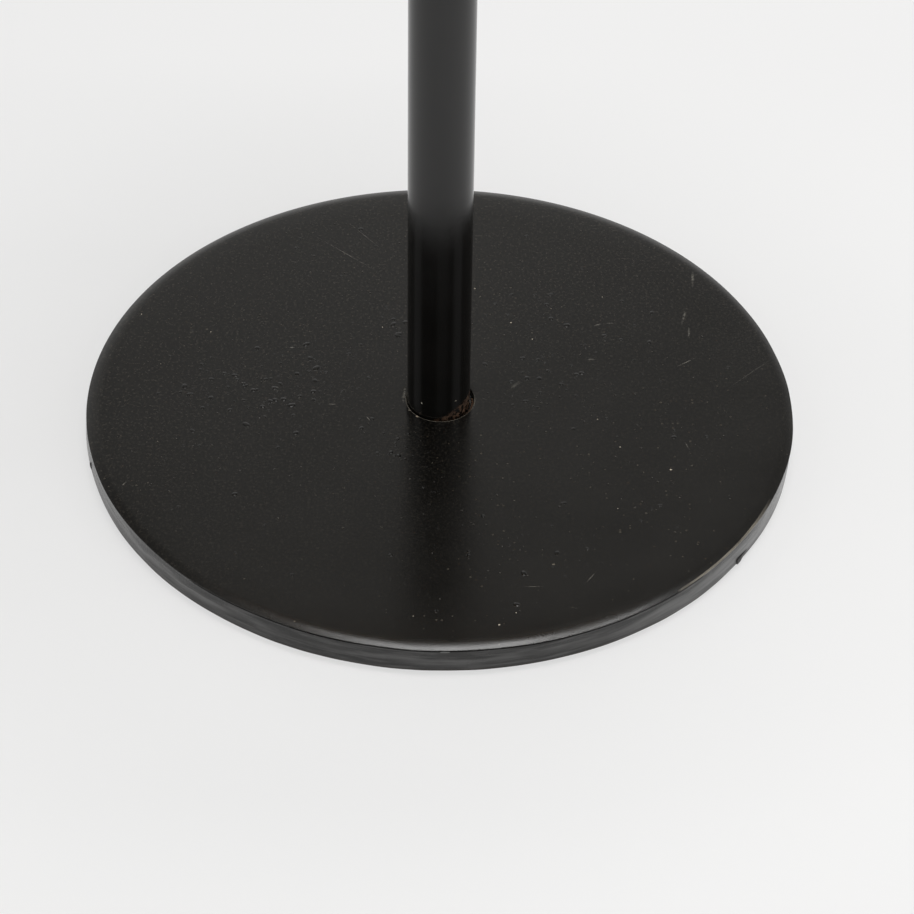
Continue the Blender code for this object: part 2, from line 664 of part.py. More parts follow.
    # The threaded shell stands on the core by its foot and follows the bulb's thread
    bore = BULB_THREAD_RADIUS + BULB_TO_SHELL_GAP
    thread_foot = BULB_CAP_FOOT
    inside = thread_outline(
        bore, BULB_THREAD_DEPTH, BULB_THREAD_PITCH, SHELL_THREAD_TURNS, thread_foot
    )
    outside = [(radius + SHELL_WALL, level) for radius, level in inside]
    shell_top = SHELL_FOOT + SHELL_HEIGHT
    turned(
        "screw_shell",
        [
            (bore, SHELL_FOOT),
            (SHELL_FOOT_DIAMETER / 2, SHELL_FOOT),
            (SHELL_FOOT_DIAMETER / 2, SHELL_FOOT + SHELL_WALL),
            (bore + SHELL_WALL, SHELL_FOOT + SHELL_WALL),
            (bore + SHELL_WALL, thread_foot - SHELL_WALL),
            *outside,
            (bore + SHELL_WALL, shell_top),
            (bore, shell_top),
            *inside[::-1],
            (bore, thread_foot - SHELL_WALL),
        ],
        looks["brass"], base, INNER_SEGMENTS,
    )


def make_switch(base, looks):
    """The knob, shaft and cam turn together about the shaft's axis, which runs to the right."""
    pivot = station("switch_axis", SWITCH_LEVEL, ALONG_RIGHT)
    shaft_radius = SWITCH_SHAFT_DIAMETER / 2
    collar_radius = SWITCH_COLLAR_DIAMETER / 2
    inner_wall = math.sqrt(CAP_BORE_RADIUS**2 - collar_radius**2)
    collar_end = inner_wall - SEAT_GAP
    knob_foot = CAP_RADIUS + KNOB_STANDOFF
    shaft_end = knob_foot + KNOB_BORE_DEPTH - SEAT_GAP
    turned(
        "switch_shaft",
        [
            (0, SWITCH_SHAFT_INNER_END),
            (shaft_radius, SWITCH_SHAFT_INNER_END),
            (shaft_radius, collar_end - SWITCH_COLLAR_WIDTH),
            (collar_radius, collar_end - SWITCH_COLLAR_WIDTH),
            (collar_radius, collar_end),
            (shaft_radius, collar_end),
            (shaft_radius, shaft_end),
            (0, shaft_end),
        ],
        looks["zinc"], pivot, SMALL_SEGMENTS,
    )
    cam_foot = SWITCH_SHAFT_INNER_END + SEAT_GAP
    cam = place(
        "switch_cam", rod_mesh(SWITCH_CAM_SIDE / math.sqrt(2), SWITCH_CAM_WIDTH, 4),
        looks["porcelain"], (0, 0, cam_foot), parent=pivot,
    )
    drill(
        cam, shaft_radius + SEAT_GAP / 2, (0, 0, cam_foot - OVERCUT), SWITCH_CAM_WIDTH + 2 * OVERCUT,
        segments=SMALL_SEGMENTS,
    )
    knob_radius = KNOB_DIAMETER / 2
    knob_top = knob_foot + KNOB_LENGTH
    crown = KNOB_LENGTH / 6
    knob = turned(
        "switch_knob",
        [
            (0, knob_foot + KNOB_BORE_DEPTH),
            (shaft_radius + SEAT_GAP / 2, knob_foot + KNOB_BORE_DEPTH),
            (shaft_radius + SEAT_GAP / 2, knob_foot),
            (knob_radius, knob_foot),
            (knob_radius, knob_top - crown),
            (knob_radius - crown, knob_top),
            (0, knob_top),
        ],
        looks["phenolic"], pivot, INNER_SEGMENTS,
    )
    drill(
        knob, KNOB_FLUTE_DIAMETER / 2, (0, 0, knob_foot - OVERCUT), KNOB_LENGTH + 2 * OVERCUT,
        segments=RING_SIDES, spots=round_spots(KNOB_FLUTES, knob_radius, 0.5),
    )

    # The fixed leaf hangs from the core beside the cam
    leaf_side = SWITCH_CAM_SIDE / math.sqrt(2) + SWITCH_LEAF_GAP
    leaf_top = CORE_FOOT - SEAT_GAP
    leaf = strip(
        "switch_leaf", [(leaf_side, SWITCH_LEVEL - SWITCH_CAM_SIDE / 2), (leaf_side, leaf_top)],
        -CONTACT_THICKNESS, SWITCH_CAM_WIDTH, looks["brass"], base, (0, 0, math.pi / 2),
    )
    leaf.location.x = cam_foot + SWITCH_CAM_WIDTH / 2


def make_bulb(base, looks):
    tip_top = BULB_TIP + BULB_TIP_HEIGHT
    tip_radius = BULB_TIP_DIAMETER / 2
    turned(
        "bulb_contact",
        [
            (0, BULB_TIP),
            (tip_radius * 0.7, BULB_TIP),
            (tip_radius, BULB_TIP + BULB_TIP_HEIGHT / 2),
            (tip_radius, tip_top),
            (0, tip_top),
        ],
        looks["nickel"], base, INNER_SEGMENTS,
    )
    insulator_foot = tip_top + SEAT_GAP
    insulator_radius = BULB_THREAD_ROOT - BULB_CAP_WALL - SEAT_GAP
    turned(
        "bulb_insulator",
        [
            (0, insulator_foot),
            (tip_radius, insulator_foot),
            (insulator_radius, BULB_CAP_FOOT),
            (insulator_radius, insulator_foot + BULB_INSULATOR_HEIGHT),
            (0, insulator_foot + BULB_INSULATOR_HEIGHT),
        ],
        looks["black glass"], base, INNER_SEGMENTS,
    )

    # The cap's thread is drawn in thin brass sheet, so its bore follows its outside
    outside = thread_outline(
        BULB_THREAD_RADIUS, BULB_THREAD_DEPTH, BULB_THREAD_PITCH, BULB_THREAD_TURNS, BULB_CAP_FOOT
    )
    inside = [(radius - BULB_CAP_WALL, level) for radius, level in outside]
    turned(
        "bulb_cap",
        [
            *outside,
            (BULB_THREAD_RADIUS, BULB_CAP_TOP),
            (BULB_THREAD_RADIUS - BULB_CAP_WALL, BULB_CAP_TOP),
            *inside[::-1],
        ],
        looks["nickel"], base, INNER_SEGMENTS,
    )

    collar_radius = BULB_THREAD_RADIUS + BULB_BODY_WALL / 2
    spigot_radius = BULB_THREAD_ROOT - BULB_CAP_WALL - SEAT_GAP
    spigot_foot = BULB_CAP_TOP - BULB_THREAD_PITCH
    rim_foot = BULB_BODY_TOP - BULB_BODY_WALL
    board_seat = BULB_BODY_TOP - 2 * LED_BOARD_THICKNESS
    sides = [
        (collar_radius, BULB_BODY_FOOT),
        (collar_radius + (BULB_RADIUS - collar_radius) * 0.25, BULB_BODY_FOOT + BULB_BODY_HEIGHT * 0.3),
        (collar_radius + (BULB_RADIUS - collar_radius) * 0.65, BULB_BODY_FOOT + BULB_BODY_HEIGHT * 0.65),
    ]
    board_radius = BULB_RADIUS - 2 * BULB_BODY_WALL
    turned(
        "bulb_body",
        [
            (spigot_radius - BULB_BODY_WALL, spigot_foot),
            (spigot_radius, spigot_foot),
            (spigot_radius, BULB_BODY_FOOT),
            *sides,
            (BULB_RADIUS - BULB_BODY_WALL / 3, rim_foot),
            (BULB_RADIUS - BULB_BODY_WALL / 3, BULB_BODY_TOP),
            (board_radius + SEAT_GAP, BULB_BODY_TOP),
            (board_radius + SEAT_GAP, board_seat),
            *[(radius - 1.5 * BULB_BODY_WALL, level) for radius, level in sides[:0:-1]],
            (spigot_radius - BULB_BODY_WALL, BULB_BODY_FOOT),
        ],
        looks["white plastic"], base,
    )
    turned(
        "led_board",
        [
            (0, board_seat + SEAT_GAP),
            (board_radius, board_seat + SEAT_GAP),
            (board_radius, board_seat + SEAT_GAP + LED_BOARD_THICKNESS),
            (0, board_seat + SEAT_GAP + LED_BOARD_THICKNESS),
        ],
        looks["circuit board"], base, INNER_SEGMENTS,
    )
    dome_foot = BULB_BODY_TOP + SEAT_GAP
    dome_centre = dome_foot + BULB_DOME_COLLAR
    dome_bore = BULB_RADIUS - BULB_DOME_WALL
    collar_outer = BULB_RADIUS - BULB_BODY_WALL / 3
    turned(
        "bulb_dome",
        [
            (0, dome_centre + dome_bore),
            *arc((0, dome_centre), (dome_bore, dome_bore), 75, 0, 5),
            (collar_outer - BULB_DOME_WALL, dome_foot),
            (collar_outer, dome_foot),
            *arc((0, dome_centre), (BULB_RADIUS, BULB_RADIUS), 0, 75, 5),
            (0, dome_centre + BULB_RADIUS),
        ],
        looks["opal"], base,
    )


def shade_radius(height):
    """The shade's outer radius at a height above the table."""
    share = (height - SHADE_FOOT) / SHADE_HEIGHT
    return (SHADE_LOWER_DIAMETER + (SHADE_UPPER_DIAMETER - SHADE_LOWER_DIAMETER) * share) / 2


def frame_radius(height):
    """The radius of the middle of the frame's wires, which lie against the inside of the weave."""
    return shade_radius(height) - SHADE_WALL - SEAT_GAP - FRAME_WIRE_RADIUS


def woven_mesh(rows):
    """A thin sheet that passes outside one stake and inside the next. Each row is a height and the side of the
    first stake that it passes on: 1 outside, -1 inside, 0 between."""
    shape = bmesh.new()
    travel = (SHADE_WALL - SHADE_REED_THICKNESS) / 2
    faces = []
    for depth in (0, SHADE_REED_THICKNESS):
        face = []
        for height, side in rows:
            middle = shade_radius(height) - travel - depth
            radii = [middle + travel * side, middle - travel * side] * (SHADE_STAKES // 2)
            angles = [math.tau * stake / SHADE_STAKES for stake in range(SHADE_STAKES)]
            face.append([shape.verts.new((r * math.cos(a), r * math.sin(a), height)) for r, a in zip(radii, angles)])
        faces.append(face)
    for stake in range(SHADE_STAKES):
        after = (stake + 1) % SHADE_STAKES
        for face in faces:
            for low, high in zip(face, face[1:]):
                corners = [low[stake], low[after], high[after], high[stake]]
                if stake % 2:
                    corners = corners[1:] + corners[:1]
                shape.faces.new(corners[:3])
                shape.faces.new((corners[2], corners[3], corners[0]))
        for outer, inner in zip((faces[0][0], faces[0][-1]), (faces[1][0], faces[1][-1])):
            shape.faces.new((outer[stake], outer[after], inner[after], inner[stake]))
    return shaded(shape)


def make_shade(base, looks):
    fitter_radius = FITTER_DIAMETER / 2
    turned(
        "fitter_ring", washer_outline(FITTER_HOLE_RADIUS, fitter_radius, FITTER_FOOT, FITTER_TOP),
        looks["black wire"], base,
    )
    nut_foot = FITTER_TOP + SEAT_GAP
    nut_top = nut_foot + SHADE_NUT_HEIGHT
    nut_radius = SHADE_NUT_DIAMETER / 2
    nut = turned(
        "shade_nut",
        [
            (FITTER_HOLE_RADIUS, nut_foot),
            (nut_radius, nut_foot),
            (nut_radius, nut_top - SHADE_NUT_HEIGHT / 5),
            (nut_radius - SHADE_NUT_HEIGHT / 5, nut_top),
            (FITTER_HOLE_RADIUS, nut_top),
        ],
        looks["phenolic"], base, TUBE_SEGMENTS,
    )
    drill(
        nut, SHADE_NUT_NOTCH_DIAMETER / 2, (0, 0, nut_foot - OVERCUT), SHADE_NUT_HEIGHT + 2 * OVERCUT,
        segments=WIRE_SIDES, spots=round_spots(SHADE_NUT_NOTCHES, nut_radius + SHADE_NUT_NOTCH_DIAMETER / 4),
    )

    lower_ring = SHADE_FOOT + FRAME_RING_INSET
    upper_ring = SHADE_TOP - FRAME_RING_INSET
    for name, height in (("lower_ring", lower_ring), ("upper_ring", upper_ring)):
        turned(
            name, circle_outline(frame_radius(height), height, FRAME_WIRE_RADIUS),
            looks["black wire"], base, SHADE_SEGMENTS,
        )
    strut_gap = FRAME_WIRE_RADIUS + SEAT_GAP
    for number, (x, y) in enumerate(round_spots(FRAME_STRUTS, 1.0, 0.5), 1):
        ends = [lower_ring + strut_gap, upper_ring - strut_gap]
        points = [(frame_radius(height) * x, frame_radius(height) * y, height) for height in ends]
        wire(f"strut_{number}", points, FRAME_WIRE_DIAMETER, looks["black wire"], base)

    # Each spider arm leaves the fitter ring level, then falls straight to the lower ring
    arm_level = (FITTER_FOOT + FITTER_TOP) / 2
    arm_start = fitter_radius + SEAT_GAP
    arm_bend = arm_start + SPIDER_ARM_LEVEL_RUN
    arm_end = frame_radius(lower_ring) - FRAME_WIRE_RADIUS - SEAT_GAP
    profile = [(arm_start, arm_level), (arm_bend, arm_level), (arm_end, lower_ring)]
    for number, (x, y) in enumerate(round_spots(SPIDER_ARMS, 1.0, 0.25), 1):
        points = [(radius * x, radius * y, height) for radius, height in profile]
        wire(f"spider_arm_{number}", points, FRAME_WIRE_DIAMETER, looks["black wire"], base)

    # The woven wall goes in and out round the stakes in bands, and a thicker border closes each rim
    border = SHADE_BORDER_HEIGHT / 2
    first_band = SHADE_FOOT + SHADE_BORDER_HEIGHT
    woven_height = SHADE_HEIGHT - 2 * SHADE_BORDER_HEIGHT
    bands = round(woven_height / SHADE_BAND_HEIGHT)
    pitch = woven_height / bands
    rows = [(SHADE_FOOT + border, 0)]
    for band in range(bands):
        side = 1 if band % 2 == 0 else -1
        band_foot = first_band + band * pitch
        rows += [(band_foot + SHADE_BAND_STEP / 2, side), (band_foot + pitch - SHADE_BAND_STEP / 2, side)]
    rows.append((SHADE_TOP - border, 0))
    weave = place("shade_weave", woven_mesh(rows), looks["cane"], parent=base)
    for name, foot in (("lower_border", SHADE_FOOT), ("upper_border", SHADE_TOP - SHADE_BORDER_HEIGHT)):
        levels = [foot, foot + border, foot + SHADE_BORDER_HEIGHT]
        outline = [(shade_radius(foot) - SHADE_WALL, foot)]
        outline += [(shade_radius(level) + bulge, level) for level, bulge in zip(levels, (0, SHADE_BORDER_BULGE, 0))]
        outline.append((shade_radius(levels[-1]) - SHADE_WALL, levels[-1]))
        combine(weave, hidden(name, turned_mesh(outline, SHADE_SEGMENTS), parent=base), "UNION")


def main():
    clear_scene()
    looks = {
        "black paint": finish("black paint", (0.022, 0.021, 0.019), 0.42),
        "felt": finish("felt", (0.02, 0.02, 0.02), 0.95),
        "zinc": finish("zinc", (0.62, 0.62, 0.6), 0.35, 1.0),
        "bare steel": finish("bare steel", (0.35, 0.33, 0.3), 0.45, 1.0),
        "rubber": finish("rubber", (0.015, 0.015, 0.015), 0.7),
        "brown wire": finish("brown wire", (0.16, 0.06, 0.025), 0.4),
        "blue wire": finish("blue wire", (0.03, 0.12, 0.45), 0.4),
        "brass": finish("brass", (0.78, 0.57, 0.25), 0.3, 1.0),
        "nickel": finish("nickel", (0.72, 0.7, 0.66), 0.28, 1.0),
        "phenolic": finish("phenolic", (0.018, 0.018, 0.018), 0.3),
        "porcelain": finish("porcelain", (0.82, 0.8, 0.75), 0.25),
        "black glass": finish("black glass", (0.01, 0.01, 0.012), 0.1),
        "white plastic": finish("white plastic", (0.8, 0.8, 0.78), 0.4),
        "circuit board": finish("circuit board", (0.75, 0.77, 0.72), 0.5),
        "opal": finish("opal", (0.88, 0.87, 0.83), 0.35),
        "black wire": finish("black wire", (0.02, 0.02, 0.02), 0.45, 0.3),
        "cane": finish("cane", (0.52, 0.33, 0.16), 0.55),
    }
    base = station("lamp_origin", 0)
    stem = station("stem_foot", TUBE_FOOT)
    make_base(base, looks)
    make_stem(stem, looks)
    make_wires(base, looks)
    make_tube_top(base, looks)
    make_lampholder(base, looks)
    make_switch(base, looks)
    make_bulb(base, looks)
    make_shade(base, looks)


main()
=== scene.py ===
# Table lamp: heavy round plate in satin black, straight tube, E27 lampholder, LED bulb, woven cane shade
import math
import random

import bmesh
import bpy
from mathutils import Matrix, Vector, noise


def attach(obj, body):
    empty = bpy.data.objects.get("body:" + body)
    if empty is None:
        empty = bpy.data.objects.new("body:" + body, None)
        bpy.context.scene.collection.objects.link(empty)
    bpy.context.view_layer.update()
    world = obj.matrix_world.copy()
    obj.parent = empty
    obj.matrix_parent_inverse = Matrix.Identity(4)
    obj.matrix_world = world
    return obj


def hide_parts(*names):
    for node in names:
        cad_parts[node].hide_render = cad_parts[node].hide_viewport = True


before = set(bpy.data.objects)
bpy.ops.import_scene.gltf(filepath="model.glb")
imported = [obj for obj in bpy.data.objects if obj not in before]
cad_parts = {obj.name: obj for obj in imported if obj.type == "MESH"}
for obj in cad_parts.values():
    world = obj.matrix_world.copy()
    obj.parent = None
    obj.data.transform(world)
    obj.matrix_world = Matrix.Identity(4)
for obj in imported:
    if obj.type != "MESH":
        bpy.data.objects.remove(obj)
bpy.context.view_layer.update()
bpy.ops.object.select_all(action="DESELECT")
print("lamp frame loaded:", len(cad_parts), "nodes")

mm = 0.001
quarter = math.pi / 2


def inMm(values):
    return [value * mm for value in values]


def makeActive(piece):
    bpy.ops.object.select_all(action="DESELECT")
    piece.select_set(True)
    bpy.context.view_layer.objects.active = piece


def intoMesh(piece, action="DESELECT"):  # edit mode, with nothing selected or everything
    makeActive(piece)
    bpy.ops.object.mode_set(mode="EDIT")
    bpy.ops.mesh.select_all(action=action)


def outOfMesh():
    bpy.ops.object.mode_set(mode="OBJECT")


def pick(piece, kind, test):  # selects the verts, edges or faces whose middle passes the test
    bpy.ops.mesh.select_mode(type=kind)
    bpy.ops.mesh.select_all(action="DESELECT")
    shape = bmesh.from_edit_mesh(piece.data)
    found = []
    for part in {"VERT": shape.verts, "EDGE": shape.edges, "FACE": shape.faces}[kind]:
        corners = [vert.co for vert in getattr(part, "verts", [part])]
        if test(sum(corners, Vector()) / len(corners)):
            found.append(part)
    for part in found:
        part.select_set(True)
    bmesh.update_edit_mesh(piece.data)
    return len(found)


def reshaped(piece, move):  # calls move with the place of each vert, to shift it
    intoMesh(piece)
    shape = bmesh.from_edit_mesh(piece.data)
    for vert in shape.verts:
        move(vert.co)
    bmesh.update_edit_mesh(piece.data)
    outOfMesh()


def settle(piece, turn=None, at=None):  # turns a new piece, moves it in mm, then puts its place in its mesh
    makeActive(piece)
    if turn:
        piece.rotation_euler = turn
    if at:
        piece.location = inMm(at)
    bpy.ops.object.transform_apply(location=True, rotation=True, scale=True)


def tidyMesh(piece, smoothAngle=32):
    intoMesh(piece, "SELECT")
    bpy.ops.mesh.remove_doubles(threshold=0.000004)
    bpy.ops.mesh.normals_make_consistent(inside=False)
    outOfMesh()
    bpy.ops.object.shade_smooth_by_angle(angle=math.radians(smoothAngle))


def lathe(name, rings, sides, smoothAngle=32, filled=False):
    # rings of (radius, height, shift to the right) in mm; a circle is extruded and resized from one to the next
    # and back to the first, or else its two ends are small holes on the axis, which are filled
    rings = [(*ring, 0) if len(ring) == 2 else ring for ring in rings]
    radius, height, shift = rings[0]
    if not filled:
        rings.append(rings[0])
    bpy.ops.mesh.primitive_circle_add(vertices=sides, radius=radius * mm, location=inMm((shift, 0, height)))
    piece = bpy.context.object
    piece.name = name
    settle(piece)
    intoMesh(piece, "SELECT")
    bpy.ops.mesh.select_mode(type="EDGE")
    for (r0, z0, x0), (r1, z1, x1) in zip(rings, rings[1:]):
        bpy.ops.mesh.extrude_edges_move(TRANSFORM_OT_translate={"value": inMm((x1 - x0, 0, z1 - z0))})
        if r1 != r0:
            bpy.ops.transform.resize(value=(r1 / r0, r1 / r0, 1), center_override=inMm((x1, 0, z1)))
    if filled:
        bpy.ops.mesh.edge_face_add()

        def onFirstRing(place):
            away = math.hypot(place.x - shift * mm, place.y) / mm
            return abs(place.z - height * mm) < 1e-6 and 0.8 * radius < away < 1.01 * radius

        pick(piece, "EDGE", onFirstRing)
        bpy.ops.mesh.edge_face_add()
    outOfMesh()
    tidyMesh(piece, smoothAngle)
    return piece


def roundOff(centre, radii, start, end, steps):  # rings along part of an ellipse, in mm and degrees
    angles = [math.radians(start + (end - start) * step / steps) for step in range(steps + 1)]
    return [(centre[0] + radii[0] * math.cos(a), centre[1] + radii[1] * math.sin(a)) for a in angles]


def boxRings(inner, outer, low, high, innerCut, outerCut):  # a flat ring's section, its corners cut off
    return [
        (inner, low + innerCut), (inner + innerCut, low), (outer - outerCut, low), (outer, low + outerCut),
        (outer, high - outerCut), (outer - outerCut, high), (inner + innerCut, high), (inner, high - innerCut),
    ]


def evenRings(radius, low, high, step=0.45):  # rings of one radius, close enough for a thread
    return [(radius, low + step * count) for count in range(int((high - low) / step) + 1)]


def bar(radius, length, sides, at=(0, 0, 0), turn=(0, 0, 0)):  # a cylinder, in mm
    bpy.ops.mesh.primitive_cylinder_add(
        vertices=sides, radius=radius * mm, depth=length * mm, location=inMm(at), rotation=turn
    )
    return bpy.context.object


def block(size, at=(0, 0, 0)):
    bpy.ops.mesh.primitive_cube_add(size=1, location=inMm(at), scale=inMm(size))
    return bpy.context.object


def hoop(radius, thick, rounds, sides, at=(0, 0, 0)):  # a ring of round wire, in mm
    bpy.ops.mesh.primitive_torus_add(
        major_radius=radius * mm, minor_radius=thick * mm, major_segments=rounds, minor_segments=sides,
        location=inMm(at),
    )
    return bpy.context.object


def resized(piece, value):
    intoMesh(piece, "SELECT")
    bpy.ops.transform.resize(value=value, center_override=(0, 0, 0))
    outOfMesh()


def roughened(piece, offset, seed, smoothing=0.0, rounds=1):  # moves the verts a little, then wears them round
    intoMesh(piece, "SELECT")
    bpy.ops.transform.vertex_random(offset=offset, seed=seed)
    if smoothing:
        bpy.ops.mesh.vertices_smooth(factor=smoothing, repeat=rounds)
    outOfMesh()


def copyOf(piece):
    twin = piece.copy()
    twin.data = piece.data.copy()
    bpy.context.scene.collection.objects.link(twin)
    return twin


def joined(name, parts, smoothAngle=None):
    makeActive(parts[0])
    for part in parts:
        part.select_set(True)
    bpy.ops.object.join()
    parts[0].name = name
    settle(parts[0])
    if smoothAngle:
        tidyMesh(parts[0], smoothAngle)
    return parts[0]


def cutWith(piece, cutter):
    makeActive(piece)
    cut = piece.modifiers.new("cut", "BOOLEAN")
    cut.operation = "DIFFERENCE"
    cut.object = cutter
    cut.solver = "EXACT"
    bpy.ops.object.modifier_apply(modifier=cut.name)
    bpy.data.objects.remove(cutter, do_unlink=True)


def rodBetween(name, start, end, radius, sides, loops):  # an upright bar turned to run from start to end, in mm
    start, end = Vector(start), Vector(end)
    run = end - start
    rod = bar(radius, run.length, sides)
    rod.name = name
    intoMesh(rod)
    pick(rod, "EDGE", lambda place: abs(place.z) < run.length * 0.01 * mm)
    bpy.ops.mesh.subdivide(number_cuts=loops)
    outOfMesh()
    settle(rod, run.to_track_quat("Z", "Y").to_euler(), (start + end) / 2)
    return rod


def turnedCopies(piece, count, phase=0.0, loose=0.0, draw=None):
    # copies of a piece round the lamp's axis, each with its own mesh; the first piece goes
    twins = []
    for number in range(count):
        twin = copyOf(piece)
        stray = draw.gauss(0, loose) if draw else 0.0
        twin.rotation_euler = (0, 0, math.radians(phase + stray) + math.tau * number / count)
        twins.append(twin)
    bpy.data.objects.remove(piece, do_unlink=True)
    return twins


def notched(piece, count, radius, away, low, high, phase=0.0, sides=20):  # cuts round notches in a rim
    cutter = bar(radius, high - low + 2, sides, (away, 0, (low + high) / 2))
    settle(cutter)
    cutWith(piece, joined("notches", turnedCopies(cutter, count, phase)))
    tidyMesh(piece, 40)
    return piece


def threaded(piece, radius, depth, pitch, low, high):  # sinks a wall between two heights into a round thread
    def sink(place):
        away, level = place.xy.length / mm, place.z / mm
        if away > radius - 0.05 and low < level < high:
            turn = level / pitch - math.atan2(place.y, place.x) / math.tau
            fade = min(1.0, (level - low) / pitch, (high - level) / pitch)
            place.xy *= 1 - depth * fade * (0.5 - 0.5 * math.cos(math.tau * turn)) / away

    reshaped(piece, sink)
    tidyMesh(piece, 50)
    return piece


def displaced(piece, group, test, size, strength, direction):  # waviness on part of a piece, in mm
    cloud = bpy.data.textures.new(f"{piece.name}_{group}", "CLOUDS")
    cloud.noise_scale = size * mm
    cloud.noise_depth = 1
    band = piece.vertex_groups.new(name=group)
    band.add([vert.index for vert in piece.data.vertices if test(vert.co)], 1.0, "REPLACE")
    makeActive(piece)
    wave = piece.modifiers.new(group, "DISPLACE")
    wave.texture = cloud
    wave.vertex_group = group
    wave.direction = direction
    wave.mid_level = 0.5
    wave.strength = strength * mm
    bpy.ops.object.modifier_apply(modifier=wave.name)
    piece.vertex_groups.clear()


def strand(name, points, section, closedLoop=False):
    # a reed or wire along the points, in mm; section is (thickness, height, sides) and stays upright
    thickness, height, sides = section
    bpy.ops.curve.primitive_nurbs_path_add()
    outline = bpy.context.object
    outline.data.dimensions = "2D"
    outline.data.splines.clear()
    edge = outline.data.splines.new("POLY")
    edge.points.add(sides - 1)
    for number, point in enumerate(edge.points):
        turn = math.tau * (number + 0.5) / sides
        point.co = (*inMm((thickness / 2 * math.cos(turn), height / 2 * math.sin(turn))), 0, 1)
    edge.use_cyclic_u = True
    bpy.ops.curve.primitive_nurbs_path_add()
    run = bpy.context.object
    run.data.splines.clear()
    line = run.data.splines.new("POLY")
    line.points.add(len(points) - 1)
    line.points.foreach_set("co", [value for point in points for value in (*inMm(point), 1.0)])
    line.use_cyclic_u = closedLoop
    run.data.twist_mode = "Z_UP"
    run.data.bevel_mode = "OBJECT"
    run.data.bevel_object = outline
    run.data.use_fill_caps = not closedLoop
    makeActive(run)
    bpy.ops.object.convert(target="MESH")
    run = bpy.context.object
    bpy.data.objects.remove(outline, do_unlink=True)
    run.name = name
    tidyMesh(run, 60)
    return run


def finishPiece(piece, slot, look, *nodes, body="lamp"):  # material, slot, the CAD nodes it stands for, body
    piece.data.materials.clear()
    piece.data.materials.append(look)
    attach(piece, body)
    if nodes:
        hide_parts(*nodes)


tree = None  # the nodes that the helpers below add to and wire


def openTree(owner):  # a material or the world
    global tree
    owner.use_nodes = True
    tree = owner.node_tree


def feed(node, inputs):  # each input is a value, or the socket that it is wired to
    for key, value in inputs.items():
        socket = node.inputs[key]
        if isinstance(value, bpy.types.NodeSocket):
            tree.links.new(value, socket)
        elif socket.type == "RGBA":
            socket.default_value = (*value, 1)
        else:
            socket.default_value = value


def add(kind, inputs=None, **settings):
    node = tree.nodes.new("ShaderNode" + kind)
    for key, value in settings.items():
        setattr(node, key, value)
    feed(node, inputs or {})
    return node


def startLook(name, sockets=None):
    look = bpy.data.materials.new(name)
    openTree(look)
    feed(tree.nodes["Principled BSDF"], sockets or {})
    return look


def dress(look, colour, roughness, normal):
    feed(tree.nodes["Principled BSDF"], {"Base Color": colour, "Roughness": roughness, "Normal": normal})
    return look


def stretched(place, scale):
    return add("Mapping", {"Vector": place, "Scale": scale}).outputs[0]


def objectPlace():
    return add("TexCoord").outputs["Object"]


def sidesOf(place):  # how far right, to the rear and up, in mm
    return add("SeparateXYZ", {"Vector": stretched(place, (1000, 1000, 1000))}).outputs


def grain(place, scale, detail=3.0, rough=0.55):
    inputs = {"Vector": place, "Scale": scale, "Detail": detail, "Roughness": rough}
    return add("TexNoise", inputs).outputs["Fac"]


def ramp(source, *stops):  # (position, colour or grey) pairs
    node = add("ValToRGB", {"Fac": source})
    marks = node.color_ramp.elements
    while len(marks) < len(stops):
        marks.new(0.5)
    for mark, (position, colour) in zip(marks, stops):
        mark.position = position
        mark.color = (*colour, 1) if isinstance(colour, tuple) else (colour, colour, colour, 1)
    return node.outputs[0]


def span(source, low, high, start=0.0, end=1.0):  # low at the start and before it, high from the end on
    inputs = {"Value": source, "From Min": start, "From Max": end, "To Min": low, "To Max": high}
    return add("MapRange", inputs).outputs[0]


def rising(source, start, end):
    return span(source, 0.0, 1.0, start, end)


def falling(source, start, end):
    return span(source, 1.0, 0.0, start, end)


def maths(how, *values):
    return add("Math", dict(enumerate(values)), operation=how).outputs[0]


def times(first, *others):
    for other in others:
        first = maths("MULTIPLY", first, other)
    return first


def plus(first, *others):
    for other in others:
        first = maths("ADD", first, other)
    return first


def minus(first, second):
    return maths("SUBTRACT", first, second)


def above(source, level):
    return maths("GREATER_THAN", source, level)


def below(source, level):
    return maths("LESS_THAN", source, level)


def blended(share, under, over, how="MIX"):
    return add("Mix", {0: share, 6: under, 7: over}, data_type="RGBA", blend_type=how).outputs[2]


def bumped(height, strength, depth, under=None):  # depth in mm
    node = add("Bump", {"Height": height, "Strength": strength, "Distance": depth * mm})
    if under:
        feed(node, {"Normal": under})
    return node.outputs[0]


def fromAxis(right, rear):
    return maths("SQRT", plus(maths("POWER", right, 2.0), maths("POWER", rear, 2.0)))


def roundTheAxis(along, across, outward=0.001):
    # angle from the front, distance from the axis and height, stretched so that streaks follow the turning
    right, rear, up = sidesOf(objectPlace())
    angle = maths("ARCTAN2", right, times(rear, -1.0))
    inputs = {"X": times(angle, along), "Y": times(fromAxis(right, rear), outward), "Z": times(up, across)}
    return add("CombineXYZ", inputs).outputs[0]


def reachFrom(place, at, size, angle=0.0):  # 0 in the middle of a spot and 1 at its edge; at and size in mm
    spot = add("Mapping", {
        "Vector": place, "Location": inMm(at), "Rotation": (0, 0, math.radians(angle)), "Scale": inMm(size),
    }, vector_type="TEXTURE")
    return add("VectorMath", {0: spot.outputs[0]}, operation="LENGTH").outputs["Value"]


def chipped(place, colour, chips):
    for at, size, tone in chips:
        colour = blended(below(reachFrom(place, at, size), 1.0), colour, tone)
    return colour


def plainLook(name, dark, light, roughness, scale, bump=0.1, depth=0.1, detail=3.0, sockets=None):
    look = startLook(name, sockets)
    place = objectPlace()
    tone = grain(place, scale, detail)
    fine = grain(place, scale * 6, 2.0)
    return dress(
        look, ramp(tone, (0.3, dark), (0.7, light)), span(tone, *roughness, 0.3, 0.7), bumped(fine, bump, depth)
    )


